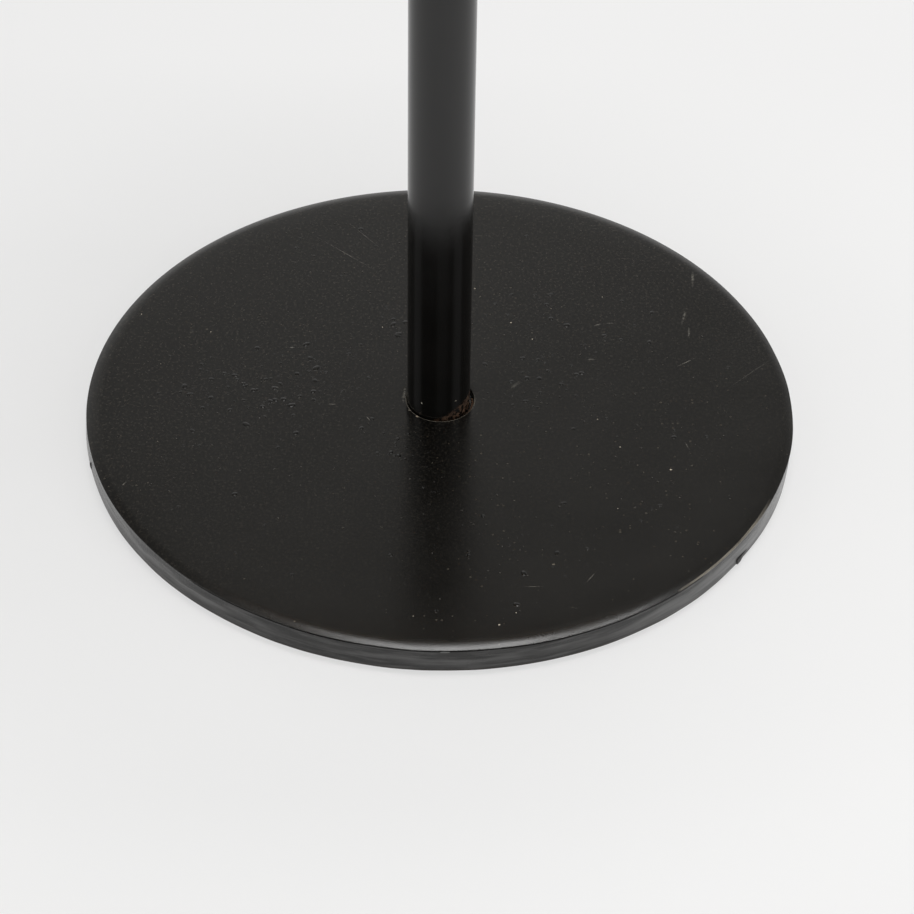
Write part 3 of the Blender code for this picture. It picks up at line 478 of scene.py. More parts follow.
plateSet = {
    "radius": 107.5, "top": 9.5, "underside": 1.5, "sides": 360,  # mm
    "crownFrom": 98.5, "crownTilt": 1.6,
    "rollFrom": 103.6, "rollTilt": 21.5, "rollSteps": 10,  # drawn-down upper edge
    "edgeRound": 0.15, "wallTaper": 0.5,
    "groove": (0.32, 0.38), "grooveRange": (-131, -44.5),  # depth and height, then angles
    "ridge": 5.4, "ridgeWaves": 0.9, "wallRipple": 0.16, "lowerWaves": 0.3,
    "seatRadius": 10.3, "seatShift": 0.55, "seatFloor": 7.1, "boltHole": 4.3, "boltHead": (9.1, 5.3),
    "topRings": (20, 34, 52, 70, 86, 94), "footRings": (104, 60), "strayFrom": 90, "strayGrows": 8,
    # how far the blanked edge strays outwards, by angle: at the top, then at the foot
    "topStray": [
        (-180, 0), (-160, -0.3), (-139, -0.95), (-118, -1.35), (-107, -1.0), (-100, -0.85), (-92, -0.4),
        (-84, -0.4), (-70, 0), (-60, 0.15), (-36, 0.3), (-24, 0.6), (-10, 1.1), (3, 0.7), (15, 0.25), (30, 0),
        (180, 0),
    ],
    "footStray": [
        (-180, 0), (-160, -0.7), (-128, -0.7), (-104, -0.3), (-92, 0), (-60, 0.5), (-48, 0.5), (-36, 0.15),
        (-24, 0.3), (-10, 0), (180, 0),
    ],
}


def easedAlong(marks, place):  # the value at a place between (place, value) marks
    for (start, low), (stop, high) in zip(marks, marks[1:]):
        if start <= place <= stop:
            share = (place - start) / (stop - start)
            return low + (high - low) * share * share * (3 - 2 * share)
    return 0.0


def angleOf(place):
    return math.degrees(math.atan2(place.y, place.x))


def strayEdge(plate, s):  # the blank is not quite round: its edge moves in and out, the flat top with it
    def move(place):
        away = place.xy.length / mm
        if away > s["strayFrom"]:
            up = (place.z / mm - s["underside"]) / (s["top"] - s["underside"])
            atFoot, atTop = (easedAlong(s[marks], angleOf(place)) for marks in ("footStray", "topStray"))
            grown = min(1.0, (away - s["strayFrom"]) / s["strayGrows"])
            place.xy *= 1 + (atFoot * (1 - up) + atTop * up) * grown / away

    reshaped(plate, move)


def rollRings(s):  # a faint crown, then a tilt that grows evenly and turns fast into the wall
    tight, radius = s["edgeRound"], s["rollFrom"]
    end = s["radius"] - s["wallTaper"] - tight
    height = s["top"] - (radius - s["crownFrom"]) * math.tan(math.radians(s["crownTilt"]))
    rings = [(s["crownFrom"], s["top"]), (radius, height)]
    step = (end - radius) / s["rollSteps"]
    for count in range(s["rollSteps"]):
        tilt = s["crownTilt"] + (s["rollTilt"] - s["crownTilt"]) * (count + 0.5) / s["rollSteps"]
        height -= step * math.tan(math.radians(tilt))
        radius += step
        rings.append((radius, height))
    return rings + roundOff((end, height - tight), (tight, tight), 66, 0, 4)


def makePlateShape(s):
    roll = rollRings(s)
    wallTop = roll[-1][1]
    top, foot, rim, ridge, floor = s["top"], s["underside"], s["radius"], s["ridge"], s["seatFloor"]
    brow, seat, shift, hole = rim - s["wallTaper"], s["seatRadius"], s["seatShift"], s["boltHole"]
    (depth, tall), (head, headTop) = s["groove"], s["boltHead"]
    wall = [
        (brow - depth, wallTop - 0.08), (brow - depth, wallTop - tall + 0.06), (brow, wallTop - tall),
        (brow + 0.02, wallTop - 0.9), (brow + 0.03, wallTop - 1.7), (brow + 0.04, wallTop - 2.4),
        (brow + 0.06, ridge + 0.45), (brow + 0.16, ridge), (brow + 0.14, ridge - 0.5),
        (brow + 0.22, ridge - 1.2), (brow + 0.32, ridge - 1.9), (brow + 0.45, foot + 1.0),
        (rim - 0.03, foot + 0.5), (rim, foot + 0.2), (rim - 0.1, foot + 0.05), (rim - 0.3, foot),
    ]
    plate = lathe("plate", [
        (hole, floor), (seat - 0.5, floor, shift), (seat - 0.12, floor + 0.05, shift),
        (seat, floor + 0.25, shift), (seat, top - 0.28, shift), (seat + 0.06, top - 0.12, shift),
        (seat + 0.18, top - 0.03, shift), (seat + 0.38, top, shift), (13, top, 0.3),
        *[(away, top) for away in s["topRings"]], *roll, *wall, *[(away, foot) for away in s["footRings"]],
        (head + 0.2, foot), (head, foot + 0.2), (head, headTop), (hole, headTop),
    ], s["sides"], 40)
    start, stop = s["grooveRange"]

    def pastGroove(place):
        deep = abs(place.xy.length - (brow - depth) * mm) < 2e-5
        return deep and not start < angleOf(place) < stop and place.z > (wallTop - tall - 0.05) * mm

    def nearRidge(place):
        return place.xy.length > 105 * mm and abs(place.z - ridge * mm) < 0.7 * mm

    def onWall(place):
        return place.xy.length > 106.8 * mm and 2.2 * mm < place.z < (wallTop - 0.4) * mm

    def lowEdge(place):
        return place.xy.length > 106.3 * mm and place.z < 2.6 * mm

    intoMesh(plate)
    if pick(plate, "VERT", pastGroove):
        level = brow / (brow - depth)
        bpy.ops.transform.resize(value=(level, level, 1), center_override=inMm((0, 0, wallTop)))
    outOfMesh()
    displaced(plate, "ridgeWave", nearRidge, 16, s["ridgeWaves"], "Z")
    displaced(plate, "wallRipple", onWall, 5, s["wallRipple"], "NORMAL")
    displaced(plate, "wallSwell", onWall, 20, s["wallRipple"] * 1.5, "NORMAL")
    displaced(plate, "lowerWave", lowEdge, 12, s["lowerWaves"], "Z")
    strayEdge(plate, s)
    return plate


# tongues of metal left low on the wall: angle, foot, then length, thickness and height, lift of the tip, mm
burrSet = [(-34.0, 1.45, (7.2, 0.9, 2.0), 1.5), (-166.3, 2.0, (3.4, 0.7, 1.4), 0.5)]


def makeBurrs(spots, rim, stray):  # each is a block drawn out to a thin tip, then worn round
    burrs = []
    for number, (angle, foot, (long, thick, tall), lift) in enumerate(spots):
        burr = block((thick, long, tall))
        settle(burr)
        intoMesh(burr, "SELECT")
        bpy.ops.mesh.subdivide(number_cuts=3)
        for share in (0.0, 0.25, 0.5):
            pick(burr, "VERT", lambda place: place.y > (share - 0.05) * long * mm)
            bpy.ops.transform.resize(value=(0.75, 1, 0.66), center_override=inMm((-thick / 2, 0, -tall / 2)))
            bpy.ops.transform.translate(value=(0, 0, lift / 3 * mm))
        outOfMesh()
        roughened(burr, 0.07 * mm, number + 2, 0.4)
        turn, away = math.radians(angle), rim - 0.1 + easedAlong(stray, angle)
        settle(burr, (0, 0, turn), (away * math.cos(turn), away * math.sin(turn), foot + tall / 2))
        burrs.append(burr)
    return joined("plate_burrs", burrs, 50)


nibSet = {  # mm, heights as shares of the size
    "count": 640, "seed": 11, "smallest": 0.11, "largest": 0.38, "lowest": 0.35, "highest": 0.7,
    "fineness": 1, "smoothing": 0.0, "sunk": 0.0, "within": (13, 99),
    "clusters": [(-58, 6, 26), (38, 20, 22), (-30, 62, 24), (20, -60, 30), (-70, -30, 22), (70, -20, 22)],
}
bumpSet = {
    "count": 330, "seed": 23, "smallest": 0.34, "largest": 1.2, "lowest": 0.12, "highest": 0.19,
    "fineness": 2, "smoothing": 0.3, "sunk": 0.5, "within": (13, 92),
    "clusters": [(-47, 12, 18), (-60, -2, 15), (-33, 14, 12), (-38, -2, 12), (-70, 8, 14), (-14, 34, 7),
                 (-12, -25, 6), (44, 24, 20), (27, 4, 12), (30, 40, 14)],
}


def makeNibs(name, top, s):  # small flattened grains in the paint, thicker in clusters
    bpy.ops.mesh.primitive_ico_sphere_add(subdivisions=s["fineness"], radius=1)
    grainShape = bpy.context.object
    roughened(grainShape, 0.12, 3, s["smoothing"], 2)
    bpy.ops.object.shade_smooth()
    draw = random.Random(s["seed"])
    inner, outer = s["within"]
    nibs = []
    while len(nibs) < s["count"]:
        if draw.random() < 0.62:
            x, y, spread = draw.choice(s["clusters"])
            spot = Vector((draw.gauss(x, spread * 0.6), draw.gauss(y, spread * 0.6)))
        else:
            away, turn = outer * math.sqrt(draw.random()), draw.uniform(0, math.tau)
            spot = Vector((away * math.cos(turn), away * math.sin(turn)))
        size = s["smallest"] + (s["largest"] - s["smallest"]) * draw.random() ** 3.2
        tall = draw.uniform(s["lowest"], s["highest"])
        turn = draw.uniform(0, math.tau)
        if not inner < spot.length < outer:
            continue
        nib = copyOf(grainShape)
        nib.scale = inMm((size * draw.uniform(0.8, 1.6), size, size * tall))
        nib.rotation_euler = (0, 0, turn)
        nib.location = inMm((spot.x, spot.y, top + 0.01 - s["sunk"] * size * tall))
        nibs.append(nib)
    bpy.data.objects.remove(grainShape, do_unlink=True)
    return joined(name, nibs)


# scratches and rubs, in mm on the plate: middle, length, direction in degrees, how pale, width
scratchSet = [
    (-30.5, 71.3, 31, -41.5, 0.35, 0.4), (-24.3, 80.4, 21, -51.3, 0.3, 0.4), (80.8, 60.3, 10, -93, 0.42, 1.1),
    (77.1, 41.4, 11, -104, 0.42, 1.0), (78.1, 32.9, 6, -93, 0.5, 0.7), (76.4, 18.5, 8, 34.6, 0.6, 0.5),
    (95.6, 13.3, 23, 44.9, 0.22, 0.4), (49.5, 36.3, 2.8, 28, 0.7, 0.8), (53.6, 37.2, 2.4, 2, 0.6, 0.7),
    (23.3, 6.7, 6, 51, 0.22, 1.7), (47.1, 19.5, 3, 0, 0.5, 0.9), (-21.2, -9.4, 2.4, -60, 0.9, 0.45),
    (-50, 4.8, 2.6, -12, 0.7, 0.8), (-45.6, 23.7, 1.9, 0, 0.6, 0.7), (-32.3, -3.0, 3.0, -3, 0.35, 0.9),
    (-35, -7.7, 4.0, 15, 0.25, 0.8), (-10.5, 1.8, 8, 86, 0.75, 1.3), (13.9, 0.2, 1.8, -20, 0.4, 0.6),
    (-92.8, -40.1, 3.8, 56, 0.9, 0.4), (74.7, -20.4, 4.3, -72, 0.7, 0.4), (44, -77.6, 5.5, 57, 0.5, 0.4),
    (27.7, -81.4, 6.6, 1, 0.4, 0.4),
]
# chips and dark spots: place, size across, along and upright, colour
chipSet = [
    ((2.6, -107.0, 8.12), (1.8, 0.6, 0.3), (0.40, 0.41, 0.40)),
    ((33.5, -72.2, 9.5), (0.45, 0.3, 0.4), (0.16, 0.14, 0.11)),
    ((-39.9, -96.1, 9.5), (0.4, 0.35, 0.4), (0.14, 0.12, 0.09)),
    ((38.6, -52.2, 9.5), (0.8, 0.6, 0.4), (0.0012, 0.001, 0.001)),
    ((-6.4, -8.1, 9.45), (0.45, 0.4, 0.4), (0.55, 0.47, 0.36)),
    ((-8.7, -5.3, 9.45), (0.4, 0.3, 0.4), (0.3, 0.27, 0.22)),
]


def makePlatePaint(s):
    look = startLook("satin black plate paint")
    place = objectPlace()
    right, rear, up = sidesOf(place)
    away = fromAxis(right, rear)
    cloud = grain(place, 34, 4.0)
    colour = ramp(cloud, (0.35, (0.0036, 0.0032, 0.0026)), (0.7, (0.0060, 0.0054, 0.0044)))

    # a film of fine dust, thicker towards the back and the left
    film = ramp(
        grain(place, 1150, 3.0, 0.7),
        (0.41, (0.0004, 0.0004, 0.0004)), (0.53, (0.0040, 0.0034, 0.0027)), (0.69, (0.036, 0.032, 0.026)),
    )
    colour = blended(span(minus(rear, times(right, 0.45)), 0.15, 1.0, -90, 40), colour, film)

    # pale and orange specks, thicker in drifts, a few of them bright
    cells = add("TexVoronoi", {"Vector": place, "Scale": 620.0}).outputs
    red, green, blue = add("SeparateColor", {"Color": cells["Color"]}).outputs
    size = times(span(grain(place, 21, 2.0), 0.07, 0.25, 0.36, 0.66), rising(red, 0.45, 1.0))
    tint = blended(green, (0.020, 0.013, 0.007), (0.062, 0.056, 0.044))
    tint = blended(above(blue, 0.985), tint, (0.46, 0.41, 0.33))
    colour = blended(above(size, cells["Distance"]), colour, tint)

    worn = 0.0
    for x, y, length, angle, pale, width in scratchSet:
        reach = reachFrom(place, (x, y, 0), (length / 2, width / 2, 1000), angle)
        worn = maths("MAXIMUM", worn, times(falling(reach, 0.0, 1.0), pale))
    worn = times(worn, span(grain(place, 900, 2.0), 0.0, 1.8, 0.35, 0.6))
    colour = blended(worn, colour, (0.2, 0.19, 0.165))
    # a thin pale line on the front of the seat's lip: partly paint worn pale, partly a painted highlight along
    # its lit edge
    fromSeat = reachFrom(place, (s["seatShift"], 0, 0), (1, 1, 1000))
    lip = times(rising(fromSeat, 10.28, 10.34), falling(fromSeat, 10.56, 10.72), falling(rear, -3, 4))
    lip = times(lip, above(up, 9.2), span(grain(place, 420, 3.0), 0.25, 1.0, 0.36, 0.56))
    colour = chipped(place, blended(lip, colour, (0.27, 0.25, 0.21)), chipSet)

    # the sheared wall: streaks along it, a paler wavy line of thin paint, upright shear marks above the line
    streak = grain(roundTheAxis(s["radius"] * 0.060, 0.9), 1.0, 4.0, 0.6)
    swell = grain(roundTheAxis(s["radius"] * 0.042, 0.0), 1.0, 2.0)
    patches = grain(roundTheAxis(s["radius"] * 0.026, 0.12), 1.0, 2.0)
    low = below(up, 8.4)
    level = minus(up, span(swell, 4.0, 6.8, 0.25, 0.75))
    crest = maths("MINIMUM", falling(level, 0.0, 0.8), rising(level, -2.6, 0.0))
    crest = times(crest, low, span(patches, 0.15, 1.0, 0.4, 0.62))
    colour = blended(times(low, 0.7), colour, (0.011, 0.0108, 0.0105))
    colour = blended(times(rising(streak, 0.44, 0.70), low, 0.7), colour, (0.080, 0.079, 0.078))
    # a painted reflection of the floor at a grazing angle: palest in the middle of its height, on the right
    pale = times(rising(right, 48, 98), falling(rear, -40, -24), span(streak, 0.5, 1.0, 0.38, 0.6), low)
    pale = times(pale, span(up, 0.35, 1.0, 1.8, 3.8), span(up, 1.0, 0.15, 5.4, 7.0))
    colour = blended(pale, colour, (0.200, 0.201, 0.203))
    colour = blended(times(crest, 0.8), colour, (0.115, 0.114, 0.113))
    foot = falling(up, 1.7, 2.4)
    colour = blended(times(foot, 0.8), colour, (0.014, 0.009, 0.006))
    # bare metal along the sharp edge on the right
    edge = times(above(away, 106.75), above(up, 8.45), rising(right, 68.5, 70.0), falling(rear, -58, -42))
    colour = blended(times(edge, span(streak, 0.45, 1.0, 0.35, 0.6)), colour, (0.235, 0.215, 0.18))

    # the paint has pooled on the rolled edge: a little rougher there, and brighter in a reflection
    front = falling(rear, -99, -78)
    back = rising(minus(rear, times(right, 0.5)), 0, 40)
    pooled = times(rising(away, 102.2, 104.6), minus(1.0, low), maths("MAXIMUM", front, back))
    feed(tree.nodes["Principled BSDF"], {"Specular IOR Level": span(pooled, 0.5, 0.72)})
    rough = span(cloud, 0.19, 0.26, 0.3, 0.7)
    rough = plus(rough, times(streak, low, 0.05), times(pooled, 0.065), times(foot, 0.3))
    peel = bumped(grain(place, 480, 3.0), 0.16, 0.12)
    fine = bumped(grain(place, 2100, 2.0), 0.12, 0.04, peel)
    ripple = bumped(times(streak, low), 0.35, 0.4, fine)
    shear = times(grain(roundTheAxis(s["radius"] * 1.5, 0.06), 1.0, 2.0), low, rising(level, 0.3, 1.1))
    return dress(look, colour, rough, bumped(shear, 0.4, 0.25, ripple))


finishPiece(makePlateShape(plateSet), "black_paint", makePlatePaint(plateSet), "base_plate")
finishPiece(makeNibs("plate_nibs", plateSet["top"], nibSet), "black_paint", plainLook(
    "nib paint", (0.006, 0.005, 0.004), (0.045, 0.04, 0.03), (0.2, 0.35), 300, 0.05
))
finishPiece(makeNibs("plate_bumps", plateSet["top"], bumpSet), "black_paint", plainLook(
    "raised paint", (0.0016, 0.0014, 0.0012), (0.0045, 0.004, 0.0032), (0.07, 0.15), 300, 0.03
))
finishPiece(makeBurrs(burrSet, plateSet["radius"], plateSet["footStray"]), "black_paint", plainLook(
    "burr paint", (0.005, 0.0045, 0.004), (0.012, 0.011, 0.010), (0.4, 0.6), 700, 0.4
))
print("base plate made")

residueSet = {  # mm, and the angles where it starts and ends
    "radius": 10.0, "thick": 0.32, "shift": 0.33, "level": 8.2, "start": -112, "end": 8, "lump": 0.35,
}


def makeResidue(radius, thick, shift, level, start, end, lump):  # rust-brown, in the seat round the tube's foot
    ring = hoop(radius, thick, 120, 10, (shift, 0, level))
    ring.name = "seat_residue"
    settle(ring)
    intoMesh(ring)
    middle, half = math.radians((start + end) / 2), math.radians((end - start) / 2)

    def outside(place):
        turn = math.atan2(place.y, place.x) - middle
        return abs(math.atan2(math.sin(turn), math.cos(turn))) > half

    pick(ring, "FACE", outside)
    bpy.ops.mesh.delete(type="FACE")
    bpy.ops.mesh.select_mode(type="EDGE")
    bpy.ops.mesh.select_all(action="DESELECT")
    bpy.ops.mesh.select_non_manifold()
    bpy.ops.mesh.fill_holes(sides=0)
    outOfMesh()
    displaced(ring, "lumps", lambda place: True, 1.3, lump, "NORMAL")
    tidyMesh(ring, 60)
    return ring


finishPiece(makeResidue(**residueSet), "black_paint", plainLook(
    "rusty dust", (0.05, 0.022, 0.010), (0.16, 0.085, 0.045), (0.75, 0.95), 900, 0.6, 0.3, 4.0
))

tubeSet = {
    "radius": 9.525, "bore": 8.325, "foot": 7.4, "top": 307.4, "sides": 128, "hole": 4.5, "holeHeight": 39.5,
    "levels": (15, 30, 50, 80, 130, 200, 260),
}
# pale specks low on the tube, as the plate's chips
fleckSet = [
    ((-5.1, -8.05, 14.7), (0.22, 0.6, 0.3), (0.42, 0.40, 0.34)),
    ((5.2, -8.0, 15.7), (0.3, 0.6, 0.2), (0.22, 0.2, 0.16)),
]


def makeTube(radius, bore, foot, top, sides, hole, holeHeight, levels):
    tube = lathe("tube", [
        (bore, foot + 0.3), (bore + 0.3, foot), (radius - 0.3, foot),
        *[(radius, level) for level in (foot + 0.3, *levels, top - 0.3)],
        (radius - 0.2, top), (bore + 0.2, top), (bore, top - 0.2),
    ], sides)
    cutWith(tube, bar(hole, 20, 48, (0, 15, holeHeight), (quarter, 0, 0)))
    tidyMesh(tube, 40)
    return tube


def makeTubePaint():
    look = startLook("semi gloss black tube paint")
    place = objectPlace()
    right, rear, up = sidesOf(place)
    drawn = grain(stretched(place, (260, 260, 9)), 1.0, 3.0)
    cloud = grain(place, 60, 3.0)
    colour = ramp(cloud, (0.35, (0.0033, 0.0031, 0.0028)), (0.7, (0.0052, 0.0048, 0.0044)))
    # rusty dust that the seat has left on the foot, higher towards the right
    dusty = times(falling(minus(up, times(right, 0.5)), 8.8, 10.4), falling(rear, -3, 3))
    dusty = times(dusty, rising(grain(place, 1000, 3.0), 0.42, 0.68))
    colour = chipped(place, blended(dusty, colour, (0.105, 0.058, 0.034)), fleckSet)
    rough = plus(span(cloud, 0.12, 0.19, 0.3, 0.7), times(dusty, 0.6))
    return dress(look, colour, rough, bumped(drawn, 0.07, 0.12, bumped(grain(place, 420, 2.0), 0.06, 0.1)))


tubeLook = makeTubePaint()
finishPiece(makeTube(**tubeSet), "black_paint", tubeLook, "stem_tube")
print("tube made")

metal = {"Metallic": 1.0}
blackMoulded = plainLook(
    "black phenolic moulding", (0.0085, 0.0075, 0.007), (0.016, 0.014, 0.013), (0.24, 0.36), 90,
    0.05, 0.06, 4.0, {"Coat Weight": 0.25},
)
zincLook = plainLook(
    "bright zinc", (0.42, 0.43, 0.45), (0.62, 0.62, 0.60), (0.24, 0.42), 320, 0.08, 0.04, sockets=metal
)
brassLook = plainLook(
    "pressed brass", (0.55, 0.38, 0.14), (0.74, 0.55, 0.24), (0.2, 0.4), 240, 0.08, 0.04, sockets=metal
)
nickelLook = plainLook(
    "nickelled brass", (0.5, 0.48, 0.44), (0.68, 0.66, 0.62), (0.14, 0.3), 200, 0.06, 0.04, sockets=metal
)
wirePaint = plainLook(
    "black powder coat", (0.0065, 0.0062, 0.006), (0.013, 0.0125, 0.012), (0.38, 0.52), 260, 0.28, 0.08
)

bushSet = {"hole": 5.3, "plug": 8.025, "flange": 9.525, "low": 293.4, "seat": 307.7, "top": 310.2, "edge": 0.45}


def makeBush(hole, plug, flange, low, seat, top, edge):
    return lathe("bush", [
        (hole, low + 0.3), (hole + 0.3, low), (plug - 0.5, low), (plug, low + 0.5), (plug, seat),
        (flange - 0.15, seat), (flange, seat + 0.15),
        *roundOff((flange - edge, top - edge), (edge, edge), 0, 90, 5), (hole + 0.3, top), (hole, top - 0.3),
    ], 96)


finishPiece(makeBush(**bushSet), "black_paint", tubeLook, "tube_bush")

washerSet = {"hole": 5.3, "radius": 8.25, "low": 310.5, "high": 311.3, "teeth": 16, "gap": 0.55}


def makeToothWasher(hole, radius, low, high, teeth, gap):
    washer = lathe("tooth_washer", boxRings(hole, radius, low, high, 0.1, 0.1), 64)
    return notched(washer, teeth, gap, radius, low, high, sides=12)


finishPiece(makeToothWasher(**washerSet), "zinc", zincLook, "neck_washer")

capSet = {
    "hole": 5.3, "neck": 9.5, "radius": 21.5, "bore": 19.3,
    "foot": 311.6, "flareFoot": 317.6, "sideFoot": 325.6, "inFoot": 327.8, "rim": 341.6,
    "levels": (329, 334), "groove": (338.4, 339.6, 0.45),  # low, high and depth
    "shaftHole": (2.25, 330.1), "screwHole": (1.8, 314.6),  # radius and height
}


def makeHolderCap(
    hole, neck, radius, bore, foot, flareFoot, sideFoot, inFoot, rim, levels, groove, shaftHole, screwHole
):
    flare = roundOff((neck, sideFoot), (radius - neck, sideFoot - flareFoot), 272, 358, 16)
    inside = roundOff((hole, inFoot), (bore - hole, 8), 350, 272, 12)
    low, high, sink = groove
    cap = lathe("holder_lower_cap", [
        (hole, foot + 0.3), (hole + 0.3, foot), (neck - 0.4, foot), (neck - 0.1, foot + 0.1),
        (neck, foot + 0.4), (neck, flareFoot - 0.4), *flare, *[(radius, level) for level in levels],
        (radius, low), (radius - sink, low + 0.3), (radius - sink, high - 0.3), (radius, high),
        (radius, rim - 0.35), (radius - 0.35, rim), (bore + 0.2, rim), (bore, rim - 0.2),
        (bore, inFoot), *inside,
    ], 96)
    cutWith(cap, bar(shaftHole[0], 11, 24, (20.5, 0, shaftHole[1]), (0, quarter, 0)))
    cutWith(cap, bar(screwHole[0], 10, 24, (0, 8, screwHole[1]), (quarter, 0, 0)))
    tidyMesh(cap, 34)
    return cap


finishPiece(makeHolderCap(**capSet), "phenolic", blackMoulded, "holder_cap")

setScrewSet = {"radius": 1.5, "start": 5.3, "end": 9.2, "height": 314.6, "slot": (0.5, 0.8)}


def makeSetScrew(radius, start, end, height, slot):  # headless, with a slot across its outer end
    length = end - start
    rings = [(0.2, 0), (radius * 0.55, 0), (radius * 0.95, 0.5)]
    level = 0.6
    while level < length - 0.5:
        rings += [(radius, level), (radius - 0.2, level + 0.22)]
        level += 0.45
    rings += [(radius, length - 0.2), (radius - 0.2, length), (0.2, length)]
    screw = lathe("neck_set_screw", rings, 32, filled=True)
    cutWith(screw, block((4, slot[0], 2 * slot[1]), (0, 0, length)))
    settle(screw, (-quarter, 0, 0), (0, start, height))
    tidyMesh(screw, 30)
    return screw


finishPiece(makeSetScrew(**setScrewSet), "zinc", zincLook, "cap_set_screw")

barrelSet = {
    "bore": 16, "spigot": 19.0, "low": 334.9, "seat": 341.9, "flange": 23, "flangeTop": 344.9,
    "thread": 19.5, "depth": 0.6, "pitch": 3.6, "top": 370.4,
}


def makeBarrel(bore, spigot, low, seat, flange, flangeTop, thread, depth, pitch, top):
    barrel = lathe("holder_threaded_barrel", [
        (bore, low + 0.3), (bore + 0.3, low), (spigot - 0.3, low), (spigot, low + 0.3), (spigot, seat),
        (flange - 0.3, seat), (flange, seat + 0.3), (flange, flangeTop - 0.5),
        (flange - 0.15, flangeTop - 0.15), (flange - 0.5, flangeTop), (thread, flangeTop),
        *evenRings(thread, flangeTop + 0.2, top - 0.5), (thread - 0.4, top), (bore + 0.4, top),
        (bore, top - 0.4),
    ], 72)
    return threaded(barrel, thread, depth, pitch, flangeTop + 0.3, top - 0.3)


finishPiece(makeBarrel(**barrelSet), "phenolic", blackMoulded, "holder_barrel")

knobSet = {
    "start": 22.1, "end": 34.1, "radius": 6, "bore": 2.15, "boreEnd": 31.1, "levels": (26, 29),
    "flutes": 12, "flute": 0.9, "height": 330.1,
}


def makeKnob(start, end, radius, bore, boreEnd, levels, flutes, flute, height):
    # turned upright, fluted, then laid along the shaft
    knob = lathe("fluted_knob", [
        (0.3, boreEnd), (bore, boreEnd), (bore, start + 0.2), (bore + 0.2, start), (radius - 0.3, start),
        (radius, start + 0.3), *[(radius, level) for level in levels],
        *roundOff((radius - 2, end - 2), (2, 2), 0, 84, 8), (2.4, end), (2.0, end - 0.12), (0.3, end - 0.12),
    ], 72, filled=True)
    notched(knob, flutes, flute, radius, start, end, 15)
    settle(knob, (0, quarter, 0), (0, 0, height))
    tidyMesh(knob, 34)
    return knob


finishPiece(makeKnob(**knobSet), "phenolic", blackMoulded, "switch_knob", body="switch")

grommetSet = {
    "flange": 6.25, "flangeFoot": 6.6, "face": 12.025, "edge": 0.75, "bore": 3.1,
    "neck": 4.2, "neckEnd": 10.2, "lip": 5.6, "lipEnd": 5.7, "tube": 9.6, "height": 39.5,
}


def makeGrommet(flange, flangeFoot, face, edge, bore, neck, neckEnd, lip, lipEnd, tube, height):
    # turned upright, its flange cut to the tube, then laid towards the back
    outer = lathe("rubber_flange", [
        (bore, flangeFoot), (flange, flangeFoot),
        *roundOff((flange - edge, face - edge), (edge, edge), 0, 90, 6),
        (bore + 0.5, face), (bore + 0.12, face - 0.12), (bore, face - 0.5),
    ], 64)
    cutWith(outer, bar(tube, 60, 128, turn=(quarter, 0, 0)))
    inner = lathe("rubber_neck", [
        (bore + 0.05, lipEnd + 0.2), (bore + 0.3, lipEnd), (lip - 0.5, lipEnd), (lip - 0.3, lipEnd + 0.3),
        (neck, lipEnd + 1.4), (neck, neckEnd), (bore + 0.05, neckEnd),
    ], 48)
    grommet = joined("rubber_grommet", [outer, inner])
    settle(grommet, (-quarter, 0, 0), (0, 0, height))
    tidyMesh(grommet, 40)
    return grommet


finishPiece(makeGrommet(**grommetSet), "rubber", plainLook(
    "black rubber", (0.010, 0.010, 0.0105), (0.022, 0.022, 0.023), (0.55, 0.75), 320, 0.2, 0.08
), "cable_grommet")
print("lampholder made")

bulbCapSet = {"thread": 13.1, "depth": 1.05, "pitch": 3.63, "foot": 361.75, "top": 382.75, "wall": 0.4}
bulbBodySet = {  # outlines from the foot up and from the top down
    "spigot": 11.35, "spigotFoot": 379.12, "foot": 383.05,
    "outside": [(14, 383.35), (14.35, 383.9), (15.0, 386), (16.2, 389.3), (18, 392.9), (19.9, 396.5),
                (22.1, 400.5), (24.4, 404.5), (26.6, 408.4), (28.4, 411.9), (29.2, 413.8), (29.4, 414.6),
                (29.4, 415.75), (29.1, 416.05)],
    "inside": [(26.9, 416.05), (26.7, 415.85), (26.7, 412.85), (21.7, 404.5), (15.3, 392.95), (9.55, 383.05)],
}
domeSet = {
    "radius": 30, "centre": 436.35, "wall": 1.2,
    "side": [(29.4, 416.35), (29.52, 419.5), (29.68, 424), (29.84, 428.5), (29.95, 432.5)],
}


def makeBulbCap(thread, depth, pitch, foot, top, wall):
    root = thread - depth
    cap = lathe("bulb_screw_cap", [
        (root - wall, foot), (root, foot), (thread - 0.5, foot + 0.1),
        *evenRings(thread, foot + 0.3, top - 0.3), (thread, top), (root - wall, top),
    ], 72)
    return threaded(cap, thread, depth, pitch, foot + 0.2, top - 1.2)


def makeBulbBody(spigot, spigotFoot, foot, outside, inside):
    bore, level = inside[-1][0], spigotFoot + 0.28
    return lathe("bulb_housing", [
        (bore, level), (bore + 0.3, spigotFoot), (spigot - 0.25, spigotFoot), (spigot, level), (spigot, foot),
        (13.7, foot), *outside, *inside,
    ], 96, 50)


def makeDome(radius, centre, wall, side):
    inside = [(away - wall, level) for away, level in side]
    outerArc = roundOff((0, centre), (radius, radius), 0, 89.6, 26)
    innerArc = roundOff((0, centre), (radius - wall, radius - wall), 89.6, 0, 20)
    return lathe("bulb_opal_dome", [*innerArc, *inside[::-1], *side, *outerArc], 96, 60, filled=True)


finishPiece(makeBulbCap(**bulbCapSet), "nickel", nickelLook, "bulb_cap")
finishPiece(makeBulbBody(**bulbBodySet), "white_plastic", plainLook(
    "white bulb plastic", (0.74, 0.735, 0.71), (0.82, 0.815, 0.79), (0.32, 0.45), 120, 0.05, 0.05,
    sockets={"Subsurface Weight": 0.05},
), "bulb_body")
finishPiece(makeDome(**domeSet), "opal", plainLook(
    "opal plastic", (0.80, 0.79, 0.765), (0.86, 0.855, 0.835), (0.4, 0.5), 60, 0.04, 0.05, 2.0,
    {"Subsurface Weight": 0.25, "Subsurface Scale": 0.004},
), "bulb_dome")
print("bulb made")

